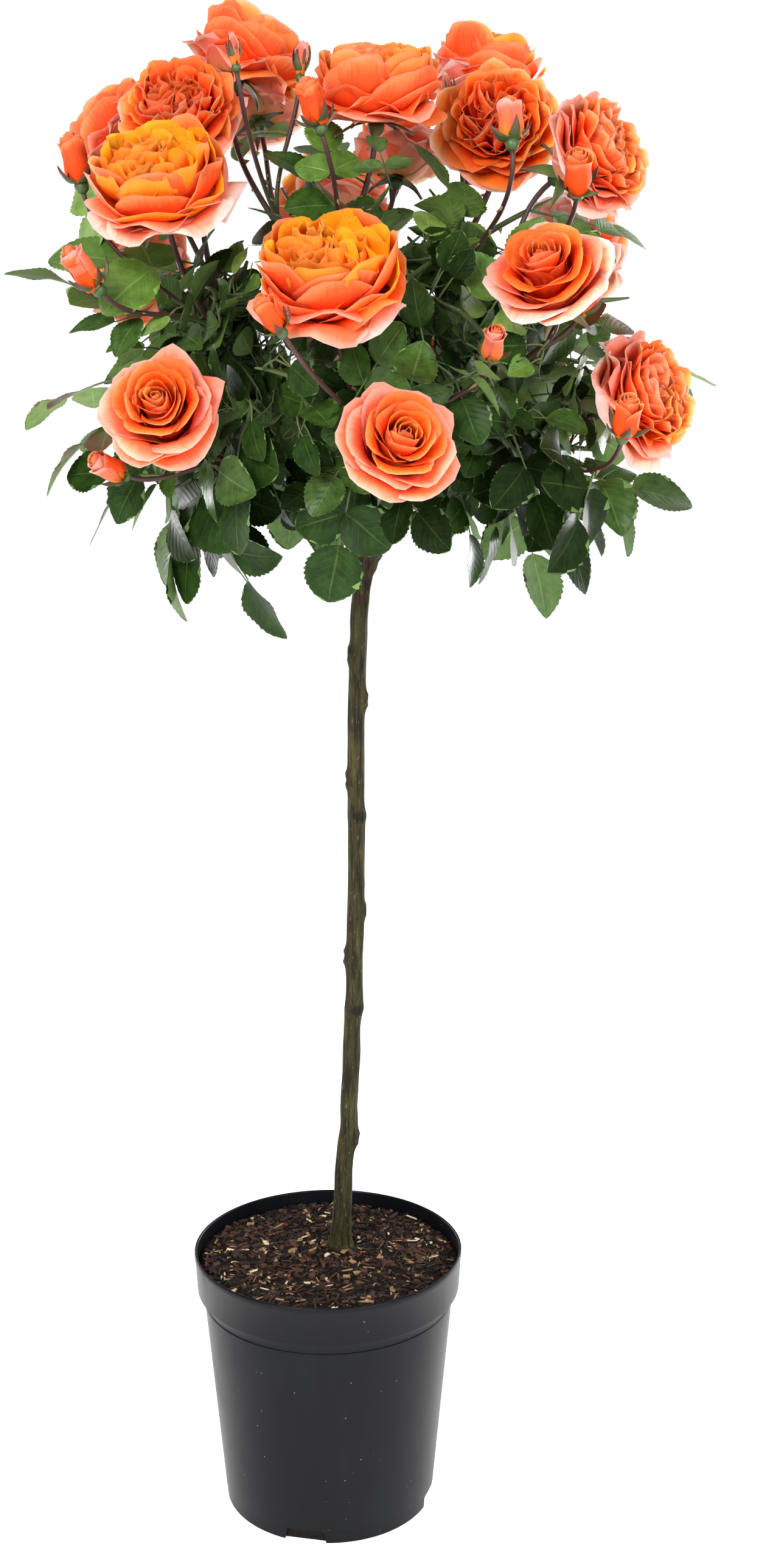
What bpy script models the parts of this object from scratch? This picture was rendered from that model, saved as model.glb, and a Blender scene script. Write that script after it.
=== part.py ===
"""A potted standard rose: a filled nursery pot, one bare grafted stem, its boughs and its flowering crown.

Metres, +Z up.  The origin is the middle of the pot's underside and the front of the plant looks along -Y.
Sizes below are in millimetres where a name ends in _MM, and in metres otherwise.  Every bough ends 0.3 mm
short of the mass of foliage that it carries, and each mass is one closed solid: twigs that branch by a
seeded rule, with leaves, buds and blooms sunk into them.
"""

import math
import random
from typing import NamedTuple

import bmesh
import bpy
import numpy as np
from mathutils import Matrix, Vector
from mathutils.bvhtree import BVHTree

MM = 0.001
GAP = 0.0003
UP = Vector((0.0, 0.0, 1.0))

# ---------------------------------------------------------------- pot and compost
POT_SIDES = 32
POT_HEIGHT = 0.191
RIM_RADIUS = 0.095
COLLAR_RADIUS = 0.093
COLLAR_HEIGHT = 0.029
BODY_RADIUS = 0.089
FOOT_RADIUS = 0.0745
FOOT_RING_HEIGHT = 0.010
FOOT_RING_STEP = 0.001
WALL = 0.002
FLOOR = 0.0024
LIP_ROUND = 0.0012

NOTCH_COUNT = 4
NOTCH_FIRST_ANGLE = math.radians(-102.0)
NOTCH_TOP_WIDTH = 0.026
NOTCH_FOOT_WIDTH = 0.034
NOTCH_HEIGHT = 0.010
NOTCH_DEPTH = 0.010

COMPOST_BELOW_RIM = 0.006
COMPOST_ROUGHNESS = 0.0016
COMPOST_SEED = 17
COMPOST_RINGS = (0.020, 0.040, 0.060, 0.078)
SEAT_RADIUS = 0.013
SIDE_GAP_SHARE = 1.3

# ---------------------------------------------------------------- trunk
TRUNK_SIDES = 10
TRUNK_RING_STEP = 0.013
COMPOST_TOP = POT_HEIGHT - COMPOST_BELOW_RIM
# height, sideways place and diameter of the stem, from the compost up to the graft
TRUNK_COURSE_MM = (
    (185.3, 8.0, 17.5),
    (191.0, 8.6, 15.0),
    (205.0, 9.6, 13.4),
    (240.0, 11.0, 12.8),
    (285.0, 15.0, 12.2),
    (336.0, 17.0, 12.0),
    (378.0, 19.0, 11.8),
    (478.0, 21.0, 11.3),
    (578.0, 21.2, 11.2),
    (634.0, 23.0, 11.4),
    (662.0, 25.0, 11.8),
)
TRUNK_DEPTH = 0.012
FLARE_HEIGHT = 0.0055
# height, angle round the stem (0 is +X) and swelling of each pruned shoot's scar
KNOTS_MM = (
    (268.0, 10.0, 2.2),
    (366.0, -75.0, 2.4),
    (404.0, 185.0, 2.2),
    (437.0, 25.0, 2.0),
    (505.0, -70.0, 2.0),
    (530.0, 190.0, 2.0),
    (585.0, 15.0, 2.4),
    (616.0, 170.0, 2.0),
)
KNOT_SPREAD = 0.0065
GRAFT_CENTRE = Vector((0.0310, TRUNK_DEPTH, 0.6970))
GRAFT_RADIUS = 0.0135
GRAFT_LEAN = 0.45
GRAFT_RINGS = ((-0.018, 0.50), (-0.011, 0.74), (-0.004, 0.97), (0.003, 1.0), (0.009, 0.78), (0.0125, 0.42))

# ---------------------------------------------------------------- crown
CROWN_CENTRE = Vector((0.030, 0.000, 0.800))
BOUGH_SIDES = 6
BOUGH_STEPS = 6
BOUGH_PULL = 0.40
SEAT_PROBES = 24
SEAT_REACH = 0.05
TWIG_SIDES = 3
TWIG_FULLNESS = 1.25
TWIG_STEP = 0.034
STEM_LENGTH = 0.012
SKELETON_STEP = 0.006
SKELETON_LEAST = 4
SPACE_MARGIN = 0.0010
LIMB_MARGIN = 0.0012

FORK_BACK = 0.55
FORK_EARLIEST = 0.10
FORK_LATEST = 0.62
FORK_LATEST_LEAFY = 0.85
FORK_STEPS = 19
FORK_THINNING = 0.88
FORK_ALONG = 0.7
FORK_TO_TARGET = 0.6
TWIG_BASE_RADIUS = 0.0027
TWIG_TIP_RADIUS = 0.0016
BUD_TWIG_RADIUS = 0.0015
TWIG_PULL = 0.36

LEAF_SEED = 4100
LEAF_SPACING = 0.026
LEAF_FIRST = 0.016
LEAF_LAST = {"bloom": 0.030, "bud": 0.020, "leafy": 0.014}
END_SPREAD = 0.15
LEAF_TRIES = 20
TRY_SHRINK = 0.98
TWO_PAIR_SHARE = 0.18
GOLDEN_TURN = math.radians(137.5)
RETRY_TURN = 0.9
PETIOLE_RADIUS = 0.0013
PETIOLE_ROOT_RADIUS = 0.0006
PETIOLE_TAPER = (1.2, 0.8)
PETIOLE_ASIDE = 0.5
PETIOLE_ABOVE = 0.2
PETIOLE_MIDDLE = 0.3
LEAFLET_SCALE = 1.22
LEAFLET_WIDTH = 0.80
LEAFLET_THICKNESS = 0.0007
LEAFLET_WIDEST = 0.44
PAIR_FOOT = 0.004
STALK_FREE = 0.005
PAIR_SHARES = (0.94, 0.78)
LEAFLET_SAG = 0.10
LEAFLET_LENGTHS = (0.030, 0.041)
PETIOLE_LENGTHS = (0.014, 0.022)
PAIR_STEP = 0.50
DROOPS = (0.0, 0.50)
HANG = 0.60
HANG_FROM = 0.81
HANG_DEPTH = 0.08
ALONG_SHARES = (0.20, 0.60)
OUTWARD_SHARES = (0.15, 0.60)
FLATTENS = (0.10, 0.90)
FACE_OUTWARD = (0.7, 1.2)
FACE_UP = (0.2, 0.7)
FACE_WANDER = (0.3, 0.2)
PAIR_ASIDE = 0.86
PAIR_FORWARD = 0.5
PAIR_DROP = 0.12
PAIR_TILTS = (0.05, 0.3)
BLOOM_CLEAR = 0.92
FACE_CLEAR_DEPTH = 0.050
FACE_CLEAR_SHARE = 0.75
FRONT_BLOOM_DEPTH = 0.03
FRONT_CLEAR_DEPTH = 0.10
FRONT_CLEAR_SHARE = 0.80
LEAF_CEILING = 0.965

BLOOM_SIDES = 10
BLOOM_RINGS = 6
PETAL_LOBE = 0.075
# outline of each kind of bloom from its base to its heart: radius and height, in half widths
BLOOM_OUTLINES = {
    "cup": ((0.0, -0.86), (0.50, -0.66), (0.94, -0.20), (0.98, 0.30), (0.74, 0.40), (0.36, 0.40),
            (0.0, 0.40)),
    "rosette": ((0.0, -0.78), (0.50, -0.58), (0.95, -0.18), (0.96, 0.16), (0.72, 0.38), (0.36, 0.44),
                (0.0, 0.36)),
    "spiral": ((0.0, -0.84), (0.50, -0.62), (0.94, -0.20), (0.94, 0.10), (0.62, 0.36), (0.30, 0.52),
               (0.0, 0.54)),
}
BLOOM_STEM_SINK = 0.70
BUD_SIDES = 6
BUD_RINGS = 4
BUD_LENGTH = 1.55
BUD_NARROWING = 0.28
BUD_STEM_SINK = 0.4


class Shoot(NamedTuple):
    """One flowering or leafy shoot: what it ends in, where, how wide that is and where it looks."""

    kind: str
    end: Vector
    width: float
    facing: Vector


class Bough(NamedTuple):
    """One limb: what carries it and where, the way it starts, where it ends, its end diameters."""

    carrier: str
    along: float
    start_way: Vector
    end: Vector
    base_radius: float
    tip_radius: float


class Spray(NamedTuple):
    """One compound leaf: the course of its stalk and its leaflets."""

    stalk: list
    leaflets: list


class Leaflet(NamedTuple):
    """One leaflet: its root, the way it points, the way its face looks and its length."""

    root: Vector
    way: Vector
    face: Vector
    length: float


def heading(azimuth, lift):
    """A unit direction from its azimuth in degrees (-90 is the front) and its lift above level."""
    turn = math.radians(azimuth)
    rise = math.radians(lift)
    return Vector((math.cos(rise) * math.cos(turn), math.cos(rise) * math.sin(turn), math.sin(rise)))


def point(x, y, z):
    """A place given in millimetres."""
    return Vector((x, y, z)) * MM


def bloom(kind, x, y, z, width, azimuth, lift):
    """A shoot that ends in an open bloom of the given kind."""
    return Shoot(kind, point(x, y, z), width * MM, heading(azimuth, lift))


def bud(x, y, z, width, azimuth, lift):
    """A shoot that ends in a bud."""
    return Shoot("bud", point(x, y, z), width * MM, heading(azimuth, lift))


def leafy(x, y, z, azimuth, lift):
    """A shoot that ends in leaves alone."""
    return Shoot("leafy", point(x, y, z), 0.0, heading(azimuth, lift))


def bough(carrier, along, azimuth, lift, end, base, tip):
    """A bough from its carrier, with its starting heading and its end diameters in millimetres."""
    return Bough(carrier, along, heading(azimuth, lift), point(*end), base * MM / 2, tip * MM / 2)


BOUGHS = {
    "left_bough": bough("trunk", 0, -142, 20, (-22, -34, 732), 8.0, 5.6),
    "front_bough": bough("trunk", 0, -84, 22, (37, -56, 738), 7.6, 5.4),
    "right_bough": bough("trunk", 0, -18, 20, (96, -16, 733), 8.0, 5.6),
    "back_bough": bough("trunk", 0, 88, 24, (30, 74, 742), 7.8, 5.4),
    "upper_left_bough": bough("trunk", 0, 166, 64, (6, 2, 800), 8.4, 5.8),
    "upper_right_bough": bough("trunk", 0, 18, 60, (62, 18, 806), 8.4, 5.8),
    "high_left_bough": bough("upper_left_bough", 0.50, 180, 30, (-34, -8, 790), 6.0, 5.0),
    "high_right_bough": bough("upper_right_bough", 0.42, -50, 26, (86, -38, 780), 6.0, 5.0),
    "rear_left_bough": bough("back_bough", 0.45, 162, 44, (-26, 62, 768), 6.0, 5.0),
    "rear_right_bough": bough("back_bough", 0.55, 24, 44, (86, 68, 768), 6.0, 5.0),
    "high_back_bough": bough("upper_left_bough", 0.66, 74, 40, (24, 52, 812), 5.6, 4.8),
}

# the shoots of each mass of foliage, leader first; places in millimetres, headings in degrees
MASSES = {
    "left_low_foliage": ("left_bough", (
        bloom("spiral", -91, -130, 790, 80, -95, 28),
        bud(-126, -100, 752, 22, -140, 25),
        leafy(-118, -32, 784, 190, 4),
        leafy(-94, -56, 734, 205, -12),
        leafy(-66, -70, 716, 225, -36),
        leafy(-44, -98, 778, -116, 4),
    )),
    "left_high_foliage": ("high_left_bough", (
        bloom("rosette", -94, -85, 927, 86, -105, 64),
        bloom("rosette", -88, 2, 966, 84, -98, 42),
        bloom("cup", -140, 92, 962, 66, 150, 50),
        bud(-147, -50, 932, 26, 200, 78),
        bud(-140, -84, 868, 26, -150, 50),
        leafy(-120, -14, 842, 185, 12),
        leafy(-58, -52, 846, -140, 10),
        leafy(-66, -92, 858, -112, 4),
        leafy(-104, 44, 902, 150, 30),
    )),
    "top_left_foliage": ("upper_left_bough", (
        bloom("cup", 35, -30, 985, 82, -95, 84),
        bloom("cup", -43, 60, 1010, 77, 24, 66),
        bloom("cup", -49, 125, 978, 60, 110, 50),
        bud(-2, -70, 964, 25, -150, 70),
        bud(-52, -20, 998, 17, 150, 80),
        bud(-12, 20, 995, 18, 70, 78),
        leafy(-14, -66, 900, -106, 20),
        leafy(44, -54, 918, -70, 30),
        leafy(-36, 40, 916, 120, 40),
    )),
    "top_right_foliage": ("upper_right_bough", (
        bloom("rosette", 113, 8, 957, 84, -96, 22),
        bloom("cup", 111, 92, 1002, 74, 30, 74),
        bud(116, -66, 954, 24, 100, 66),
        bud(82, 52, 979, 17, 140, 74),
        leafy(88, -40, 900, -86, 16),
        leafy(50, -70, 862, -96, 10),
        leafy(70, 60, 918, 90, 50),
        leafy(150, 34, 912, 12, 26),
    )),
    "right_high_foliage": ("high_right_bough", (
        bloom("spiral", 135, -130, 868, 78, -112, 46),
        bloom("rosette", 171, -60, 936, 84, -34, 24),
        bud(153, -116, 923, 25, -92, 50),
        bud(164, -90, 848, 16, -30, 50),
        leafy(196, -8, 850, -2, 8),
        leafy(138, -46, 872, -60, 10),
        leafy(84, -110, 846, -96, 6),
    )),
    "right_low_foliage": ("right_bough", (
        bloom("rosette", 202, -70, 792, 86, -36, 18),
        bud(183, -132, 784, 24, -80, 58),
        leafy(138, -54, 738, -22, -26),
        leafy(84, -62, 744, -62, -24),
        leafy(184, 6, 752, 10, -8),
        leafy(118, -104, 772, -46, 0),
    )),
    "front_foliage": ("front_bough", (
        bloom("spiral", 50, -170, 774, 78, -74, 26),
        bloom("cup", 10, -148, 874, 87, -96, 66),
        bud(-22, -190, 845, 20, -150, 55),
        bud(103, -162, 828, 20, -80, 50),
        leafy(20, -98, 740, -110, -30),
        leafy(-36, -112, 812, -130, 4),
        leafy(86, -128, 806, -60, 6),
    )),
    "rear_left_foliage": ("rear_left_bough", (
        bloom("rosette", -128, 106, 866, 80, 140, 24),
        bloom("spiral", -104, 150, 772, 78, 120, 20),
        leafy(-138, 50, 796, 170, 0),
        leafy(-94, 84, 738, 152, -20),
    )),
    "rear_high_foliage": ("high_back_bough", (
        bloom("cup", 4, 148, 912, 84, 96, 48),
        bloom("rosette", 50, 94, 946, 68, 80, 64),
        leafy(30, 176, 850, 92, 10),
        leafy(-30, 110, 920, 120, 40),
    )),
    "rear_right_foliage": ("rear_right_bough", (
        bloom("rosette", 174, 112, 884, 82, 38, 30),
        bloom("spiral", 158, 150, 778, 76, 48, 18),
        bud(112, 168, 846, 24, 80, 60),
        leafy(186, 62, 806, 22, 4),
        leafy(124, 82, 738, 34, -20),
    )),
    "rear_low_foliage": ("back_bough", (
        bloom("cup", 50, 182, 806, 80, 86, 34),
        bud(-4, 184, 780, 22, 110, 50),
        leafy(40, 120, 740, 80, -24),
        leafy(-18, 114, 744, 112, -20),
    )),
}

# ---------------------------------------------------------------- finishes
FINISHES = {
    "pot": ("charcoal plastic", (0.030, 0.034, 0.038), 0.42),
    "compost": ("bark compost", (0.060, 0.038, 0.026), 0.95),
    "bark": ("rose bark", (0.130, 0.115, 0.060), 0.85),
    "foliage": ("rose foliage", (0.055, 0.120, 0.035), 0.45),
}


def clear_scene():
    """Removes every object that the scene starts with."""
    for thing in list(bpy.data.objects):
        bpy.data.objects.remove(thing)


def make_finishes():
    """One Principled material for each finish."""
    made = {}
    for key, (name, colour, roughness) in FINISHES.items():
        material = bpy.data.materials.new(name)
        material.use_nodes = True
        shader = material.node_tree.nodes["Principled BSDF"]
        shader.inputs["Base Color"].default_value = (*colour, 1.0)
        shader.inputs["Roughness"].default_value = roughness
        made[key] = material
    return made


def add_object(name, bm, material, collection):
    """Turns a bmesh into a named object with a finish."""
    mesh = bpy.data.meshes.new(name)
    bm.to_mesh(mesh)
    bm.free()
    mesh.materials.append(material)
    made = bpy.data.objects.new(name, mesh)
    collection.objects.link(made)
    return made


# ---------------------------------------------------------------- pot and compost
def pot_profile():
    """Half section of the pot: inner floor, inner wall, lip, outer wall, underside."""
    collar_foot = POT_HEIGHT - COLLAR_HEIGHT
    inner_foot = FOOT_RADIUS - WALL
    return (
        (0.0, FLOOR),
        (inner_foot, FLOOR),
        (BODY_RADIUS - WALL, collar_foot - WALL),
        (COLLAR_RADIUS - WALL, collar_foot + WALL),
        (RIM_RADIUS - WALL, POT_HEIGHT - LIP_ROUND),
        (RIM_RADIUS - WALL + LIP_ROUND / 2, POT_HEIGHT),
        (RIM_RADIUS - LIP_ROUND / 2, POT_HEIGHT),
        (RIM_RADIUS, POT_HEIGHT - LIP_ROUND),
        (COLLAR_RADIUS, collar_foot),
        (BODY_RADIUS, collar_foot - WALL),
        (FOOT_RADIUS + FOOT_RING_STEP, FOOT_RING_HEIGHT),
        (FOOT_RADIUS, FOOT_RING_HEIGHT - FOOT_RING_STEP),
        (FOOT_RADIUS, 0.0),
        (0.0, 0.0),
    )


def turned(name, profile, material, collection):
    """A turned solid: the half section as a wire, spun by a Screw modifier."""
    bm = bmesh.new()
    corners = [bm.verts.new((radius, 0.0, height)) for radius, height in profile]
    for first, second in zip(corners, corners[1:]):
        bm.edges.new((first, second))
    made = add_object(name, bm, material, collection)
    screw = made.modifiers.new("turn", "SCREW")
    screw.steps = POT_SIDES
    screw.render_steps = POT_SIDES
    screw.use_merge_vertices = True
    screw.merge_threshold = 0.00001
    screw.use_smooth_shade = False
    return made


def notch_cutter(index, material, collection):
    """A tapered block that cuts one drain notch through the foot of the wall."""
    bm = bmesh.new()
    bmesh.ops.create_cube(bm, size=1.0)
    for vert in bm.verts:
        width = NOTCH_TOP_WIDTH if vert.co.z > 0 else NOTCH_FOOT_WIDTH
        vert.co.x *= NOTCH_DEPTH
        vert.co.y *= width
        vert.co.z = NOTCH_HEIGHT if vert.co.z > 0 else -NOTCH_HEIGHT
    bmesh.ops.translate(bm, vec=(FOOT_RADIUS, 0.0, 0.0), verts=bm.verts)
    angle = NOTCH_FIRST_ANGLE + index * math.tau / NOTCH_COUNT
    bmesh.ops.rotate(bm, matrix=Matrix.Rotation(angle, 3, "Z"), verts=bm.verts)
    cutter = add_object(f"notch_cutter_{index + 1}", bm, material, collection)
    cutter.hide_render = True
    cutter.display_type = "WIRE"
    return cutter


def make_pot(material, plant, cutters):
    """The pot: a turned shell with its drain notches cut out of the foot."""
    pot = turned("pot", pot_profile(), material, plant)
    for index in range(NOTCH_COUNT):
        cut = pot.modifiers.new(f"notch_{index + 1}", "BOOLEAN")
        cut.operation = "DIFFERENCE"
        cut.object = notch_cutter(index, material, cutters)
    return pot


def make_compost(material, plant):
    """The compost: a plug that fills the pot, uneven on top, with a flat seat under the stem."""
    rng = random.Random(COMPOST_SEED)
    collar_foot = POT_HEIGHT - COLLAR_HEIGHT
    slope = (RIM_RADIUS - COLLAR_RADIUS) / COLLAR_HEIGHT
    edge = COLLAR_RADIUS - WALL - GAP + slope * (COMPOST_TOP - collar_foot - WALL)
    side_gap = GAP * SIDE_GAP_SHARE
    levels = (
        (FOOT_RADIUS - WALL - side_gap, FLOOR + GAP),
        (BODY_RADIUS - WALL - side_gap, collar_foot - WALL + side_gap),
        (COLLAR_RADIUS - WALL - side_gap, collar_foot + WALL + side_gap),
        (edge - side_gap, COMPOST_TOP - COMPOST_ROUGHNESS),
    )
    rings = list(levels) + [(radius, COMPOST_TOP) for radius in reversed((SEAT_RADIUS, *COMPOST_RINGS))]
    stem_foot = Vector((TRUNK_COURSE_MM[0][1] * MM, TRUNK_DEPTH, 0.0))
    frames = []
    for radius, height in rings:
        shift = min(1.0, max(0.0, (COMPOST_RINGS[-1] - radius) / (COMPOST_RINGS[-1] - SEAT_RADIUS)))
        shift *= height == COMPOST_TOP
        place = Matrix.Translation(stem_foot * shift + UP * height)
        frames.append(place @ Matrix.Diagonal((radius, radius, 1.0, 1.0)))
    bm = bmesh.new()
    bmesh.ops.create_circle(bm, cap_ends=True, segments=POT_SIDES, radius=1.0, matrix=frames[0])
    cap = next(iter(bm.faces))
    rows = []
    for last, frame in zip(frames, frames[1:]):
        cap = bmesh.ops.extrude_discrete_faces(bm, faces=[cap])["faces"][0]
        bmesh.ops.transform(bm, matrix=frame @ last.inverted(), verts=cap.verts)
        rows.append(list(cap.verts))
    for row in rows[len(levels) - 1:-1]:
        for vert in row:
            vert.co.z -= COMPOST_ROUGHNESS * rng.random()
    close_mesh(bm)
    return add_object("compost", bm, material, plant)


# ---------------------------------------------------------------- limbs
def close_mesh(bm):
    """Fills what is still open and points every face outwards."""
    open_edges = [edge for edge in bm.edges if edge.is_boundary]
    if open_edges:
        bmesh.ops.holes_fill(bm, edges=open_edges, sides=0)
    bmesh.ops.recalc_face_normals(bm, faces=bm.faces)


def ring_frames(course, radii, first_way=None, last_way=None, ridge=None):
    """A turned and scaled frame for the ring at each point of a course, twisting as little as it can.

    Each ring's first corner stands on its frame's Y axis, which starts along the ridge where one is given.
    """
    ways = []
    for index in range(len(course)):
        before = course[max(index - 1, 0)]
        after = course[min(index + 1, len(course) - 1)]
        ways.append((after - before).normalized())
    if first_way is not None:
        ways[0] = first_way.normalized()
    if last_way is not None:
        ways[-1] = last_way.normalized()
    side = ridge or ways[0].orthogonal()
    frames = []
    for place, way, radius in zip(course, ways, radii):
        side = (side - way * side.dot(way)).normalized()
        frame = Matrix((side.cross(way), side, way)).transposed().to_4x4()
        frames.append(Matrix.Translation(place) @ frame @ Matrix.Diagonal((radius, radius, radius, 1.0)))
    return frames


def tube(course, radii, sides, first_way=None, last_way=None, ridge=None):
    """A closed tapering tube: a capped ring that is extruded from point to point."""
    frames = ring_frames(course, radii, first_way, last_way, ridge)
    bm = bmesh.new()
    bmesh.ops.create_circle(bm, cap_ends=True, segments=sides, radius=1.0, matrix=frames[0])
    cap = next(iter(bm.faces))
    for last, frame in zip(frames, frames[1:]):
        cap = bmesh.ops.extrude_discrete_faces(bm, faces=[cap])["faces"][0]
        bmesh.ops.transform(bm, matrix=frame @ last.inverted(), verts=cap.verts)
    close_mesh(bm)
    return bm


def bend(start, start_way, end, end_way, pull, steps):
    """Points of a smooth bend between two places with given headings."""
    reach = (end - start).length * pull
    handles = (start, start + start_way.normalized() * reach, end - end_way.normalized() * reach, end)
    course = []
    for step in range(steps + 1):
        t = step / steps
        weights = ((1 - t) ** 3, 3 * t * (1 - t) ** 2, 3 * t * t * (1 - t), t ** 3)
        course.append(sum((handle * weight for handle, weight in zip(handles, weights)), Vector()))
    return course


def trunk_ring(height):
    """Sideways place and radius of the stem at a height, read smoothly from its course."""
    rows = TRUNK_COURSE_MM
    for low, high in zip(rows, rows[1:]):
        if height <= high[0] * MM + 1e-9:
            share = (height / MM - low[0]) / (high[0] - low[0])
            smooth = share * share * (3 - 2 * share)
            return (low[1] + (high[1] - low[1]) * smooth) * MM, (low[2] + (high[2] - low[2]) * share) * MM / 2
    return rows[-1][1] * MM, rows[-1][2] * MM / 2


def make_trunk(material, plant):
    """The bare stem: flared foot, scars of pruned shoots, and the knobbly graft at its head."""
    foot = COMPOST_TOP + GAP
    top = TRUNK_COURSE_MM[-1][0] * MM
    heights = [foot, foot + FLARE_HEIGHT]
    count = round((top - heights[-1]) / TRUNK_RING_STEP)
    heights += [heights[-1] + (top - heights[-1]) * step / count for step in range(1, count + 1)]
    course = []
    radii = []
    for height in heights:
        sideways, radius = trunk_ring(height)
        course.append(Vector((sideways, TRUNK_DEPTH, height)))
        radii.append(radius)
    for rise, share in GRAFT_RINGS:
        lean = (GRAFT_CENTRE.x - course[-1].x) * GRAFT_LEAN
        course.append(Vector((course[-1].x + lean, TRUNK_DEPTH, GRAFT_CENTRE.z + rise)))
        radii.append(GRAFT_RADIUS * share)
    bm = tube(course, radii, TRUNK_SIDES, UP, UP)
    for height, angle, swelling in KNOTS_MM:
        sideways, radius = trunk_ring(height * MM)
        out = heading(angle, 0)
        place = Vector((sideways, TRUNK_DEPTH, height * MM)) + out * radius
        for vert in bm.verts:
            nearness = math.exp(-((vert.co - place).length / KNOT_SPREAD) ** 2)
            vert.co += out * swelling * MM * nearness
    return add_object("trunk", bm, material, plant)


def solid_tree(made):
    """A search tree over a finished object's faces, which are already in world space."""
    bm = bmesh.new()
    bm.from_mesh(made.data)
    tree = BVHTree.FromBMesh(bm)
    bm.free()
    return tree


def seat_on(carrier, centre, way, radius):
    """Where a ring of this radius stands 0.3 mm off a solid, coming down on it along its own axis."""
    tree = solid_tree(carrier)
    side = way.orthogonal().normalized()
    across = way.cross(side)
    highest = 0.0
    for index in range(SEAT_PROBES):
        turn = index * math.tau / SEAT_PROBES
        offset = (side * math.cos(turn) + across * math.sin(turn)) * radius
        hit = tree.ray_cast(centre + offset + way * SEAT_REACH, -way)
        if hit[0] is not None:
            highest = max(highest, SEAT_REACH - hit[3])
    for vert in carrier.data.vertices:
        offset = vert.co - centre
        height = offset.dot(way)
        if height < SEAT_REACH and (offset - way * height).length < radius:
            highest = max(highest, height)
    return centre + way * (highest + GAP)


def make_boughs(material, plant, trunk):
    """Every bough, and the course and radii that its neighbours need to know."""
    limbs = {"trunk": trunk}
    courses = {}
    for name, row in BOUGHS.items():
        if row.carrier == "trunk":
            centre = GRAFT_CENTRE.copy()
        else:
            carrier_course, _ = courses[row.carrier]
            centre = along_course(carrier_course, row.along)[0]
        start = seat_on(limbs[row.carrier], centre, row.start_way, row.base_radius)
        end_way = row.end - (GRAFT_CENTRE + start) / 2
        course = bend(start, row.start_way, row.end, end_way, BOUGH_PULL, BOUGH_STEPS)
        radii = [row.base_radius + (row.tip_radius - row.base_radius) * step / BOUGH_STEPS
                 for step in range(BOUGH_STEPS + 1)]
        bm = tube(course, radii, BOUGH_SIDES, row.start_way, end_way)
        limbs[name] = add_object(name, bm, material, plant)
        courses[name] = (course, end_way.normalized())
    return limbs, courses


def along_course(course, share):
    """The place and heading at a share of a course's length."""
    lengths = [(after - before).length for before, after in zip(course, course[1:])]
    left = share * sum(lengths)
    for index, length in enumerate(lengths):
        if left <= length or index == len(lengths) - 1:
            way = (course[index + 1] - course[index]) / length
            return course[index] + way * left, way
        left -= length


# ---------------------------------------------------------------- twigs
class Twig(NamedTuple):
    """A grown shoot: its fine course, its radius at both ends, and the shoot that it serves."""

    course: list
    base_radius: float
    tip_radius: float
    shoot: Shoot


def course_length(course):
    """Length of a course."""
    return sum((after - before).length for before, after in zip(course, course[1:]))


def shoot_target(shoot):
    """Where a shoot's twig ends: inside the base of what it carries."""
    if shoot.kind == "leafy":
        return shoot.end
    if shoot.kind == "bud":
        return shoot.end - shoot.facing * shoot.width * BUD_LENGTH * BUD_STEM_SINK
    return shoot.end - shoot.facing * shoot.width / 2 * BLOOM_STEM_SINK


def grow_twigs(stem_root, stem_way, shoots):
    """Grows a mass's twigs: the leader from the stem, every other from the nearest twig grown before it."""
    twigs = []
    for shoot in shoots:
        target = shoot_target(shoot)
        if not twigs:
            start, way, thick = stem_root, stem_way, TWIG_BASE_RADIUS
        else:
            host, share = nearest_fork(twigs, target)
            start, way = along_course(host.course, share)
            thick = host.base_radius + (host.tip_radius - host.base_radius) * share
            way = (way * FORK_ALONG + (target - start).normalized() * FORK_TO_TARGET).normalized()
            thick = max(thick * FORK_THINNING, TWIG_TIP_RADIUS)
        slim = BUD_TWIG_RADIUS if shoot.kind == "bud" else thick
        tip = min(TWIG_TIP_RADIUS, slim)
        steps = max(SKELETON_LEAST, round((target - start).length / SKELETON_STEP))
        course = bend(start, way, target, shoot.facing, TWIG_PULL, steps)
        twigs.append(Twig(course, slim, tip, shoot))
    return twigs


def nearest_fork(twigs, target):
    """The grown twig and the share of its length that a new shoot should leave from."""
    best = None
    for twig in twigs:
        length = course_length(twig.course)
        last = FORK_LATEST_LEAFY if twig.shoot.kind == "leafy" else FORK_LATEST
        if twig.shoot.kind == "bud":
            continue
        for step in range(1, FORK_STEPS + 1):
            share = FORK_EARLIEST + (last - FORK_EARLIEST) * step / FORK_STEPS
            place, _ = along_course(twig.course, share)
            reach = (target - place).length
            if best is None or reach < best[0]:
                best = (reach, twig, share, length)
    reach, twig, share, length = best
    back = min(reach * FORK_BACK, share * length - FORK_EARLIEST * length)
    return twig, max(FORK_EARLIEST, share - back / length)


# ---------------------------------------------------------------- the space of each mass
class Space:
    """Which mass a place belongs to: the one whose twigs and blooms it is nearest to."""

    def __init__(self, skeletons):
        places = []
        radii = []
        owners = []
        for number, twigs in enumerate(skeletons):
            for twig in twigs:
                for place in twig.course:
                    places.append(place[:])
                    radii.append(twig.tip_radius)
                    owners.append(number)
                if twig.shoot.kind != "leafy":
                    places.append(twig.shoot.end[:])
                    radii.append(twig.shoot.width / 2)
                    owners.append(number)
        self.places = np.array(places)
        self.radii = np.array(radii)
        self.owners = np.array(owners)

    def holds(self, number, samples):
        """True where every sample lies in the mass's own space by the margin."""
        spots = np.array([sample[:] for sample in samples])
        away = np.linalg.norm(spots[:, None, :] - self.places[None, :, :], axis=2) - self.radii
        own = away[:, self.owners == number].min(axis=1)
        other = away[:, self.owners != number].min(axis=1)
        return bool(((other - own) / 2 > SPACE_MARGIN).all())


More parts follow.
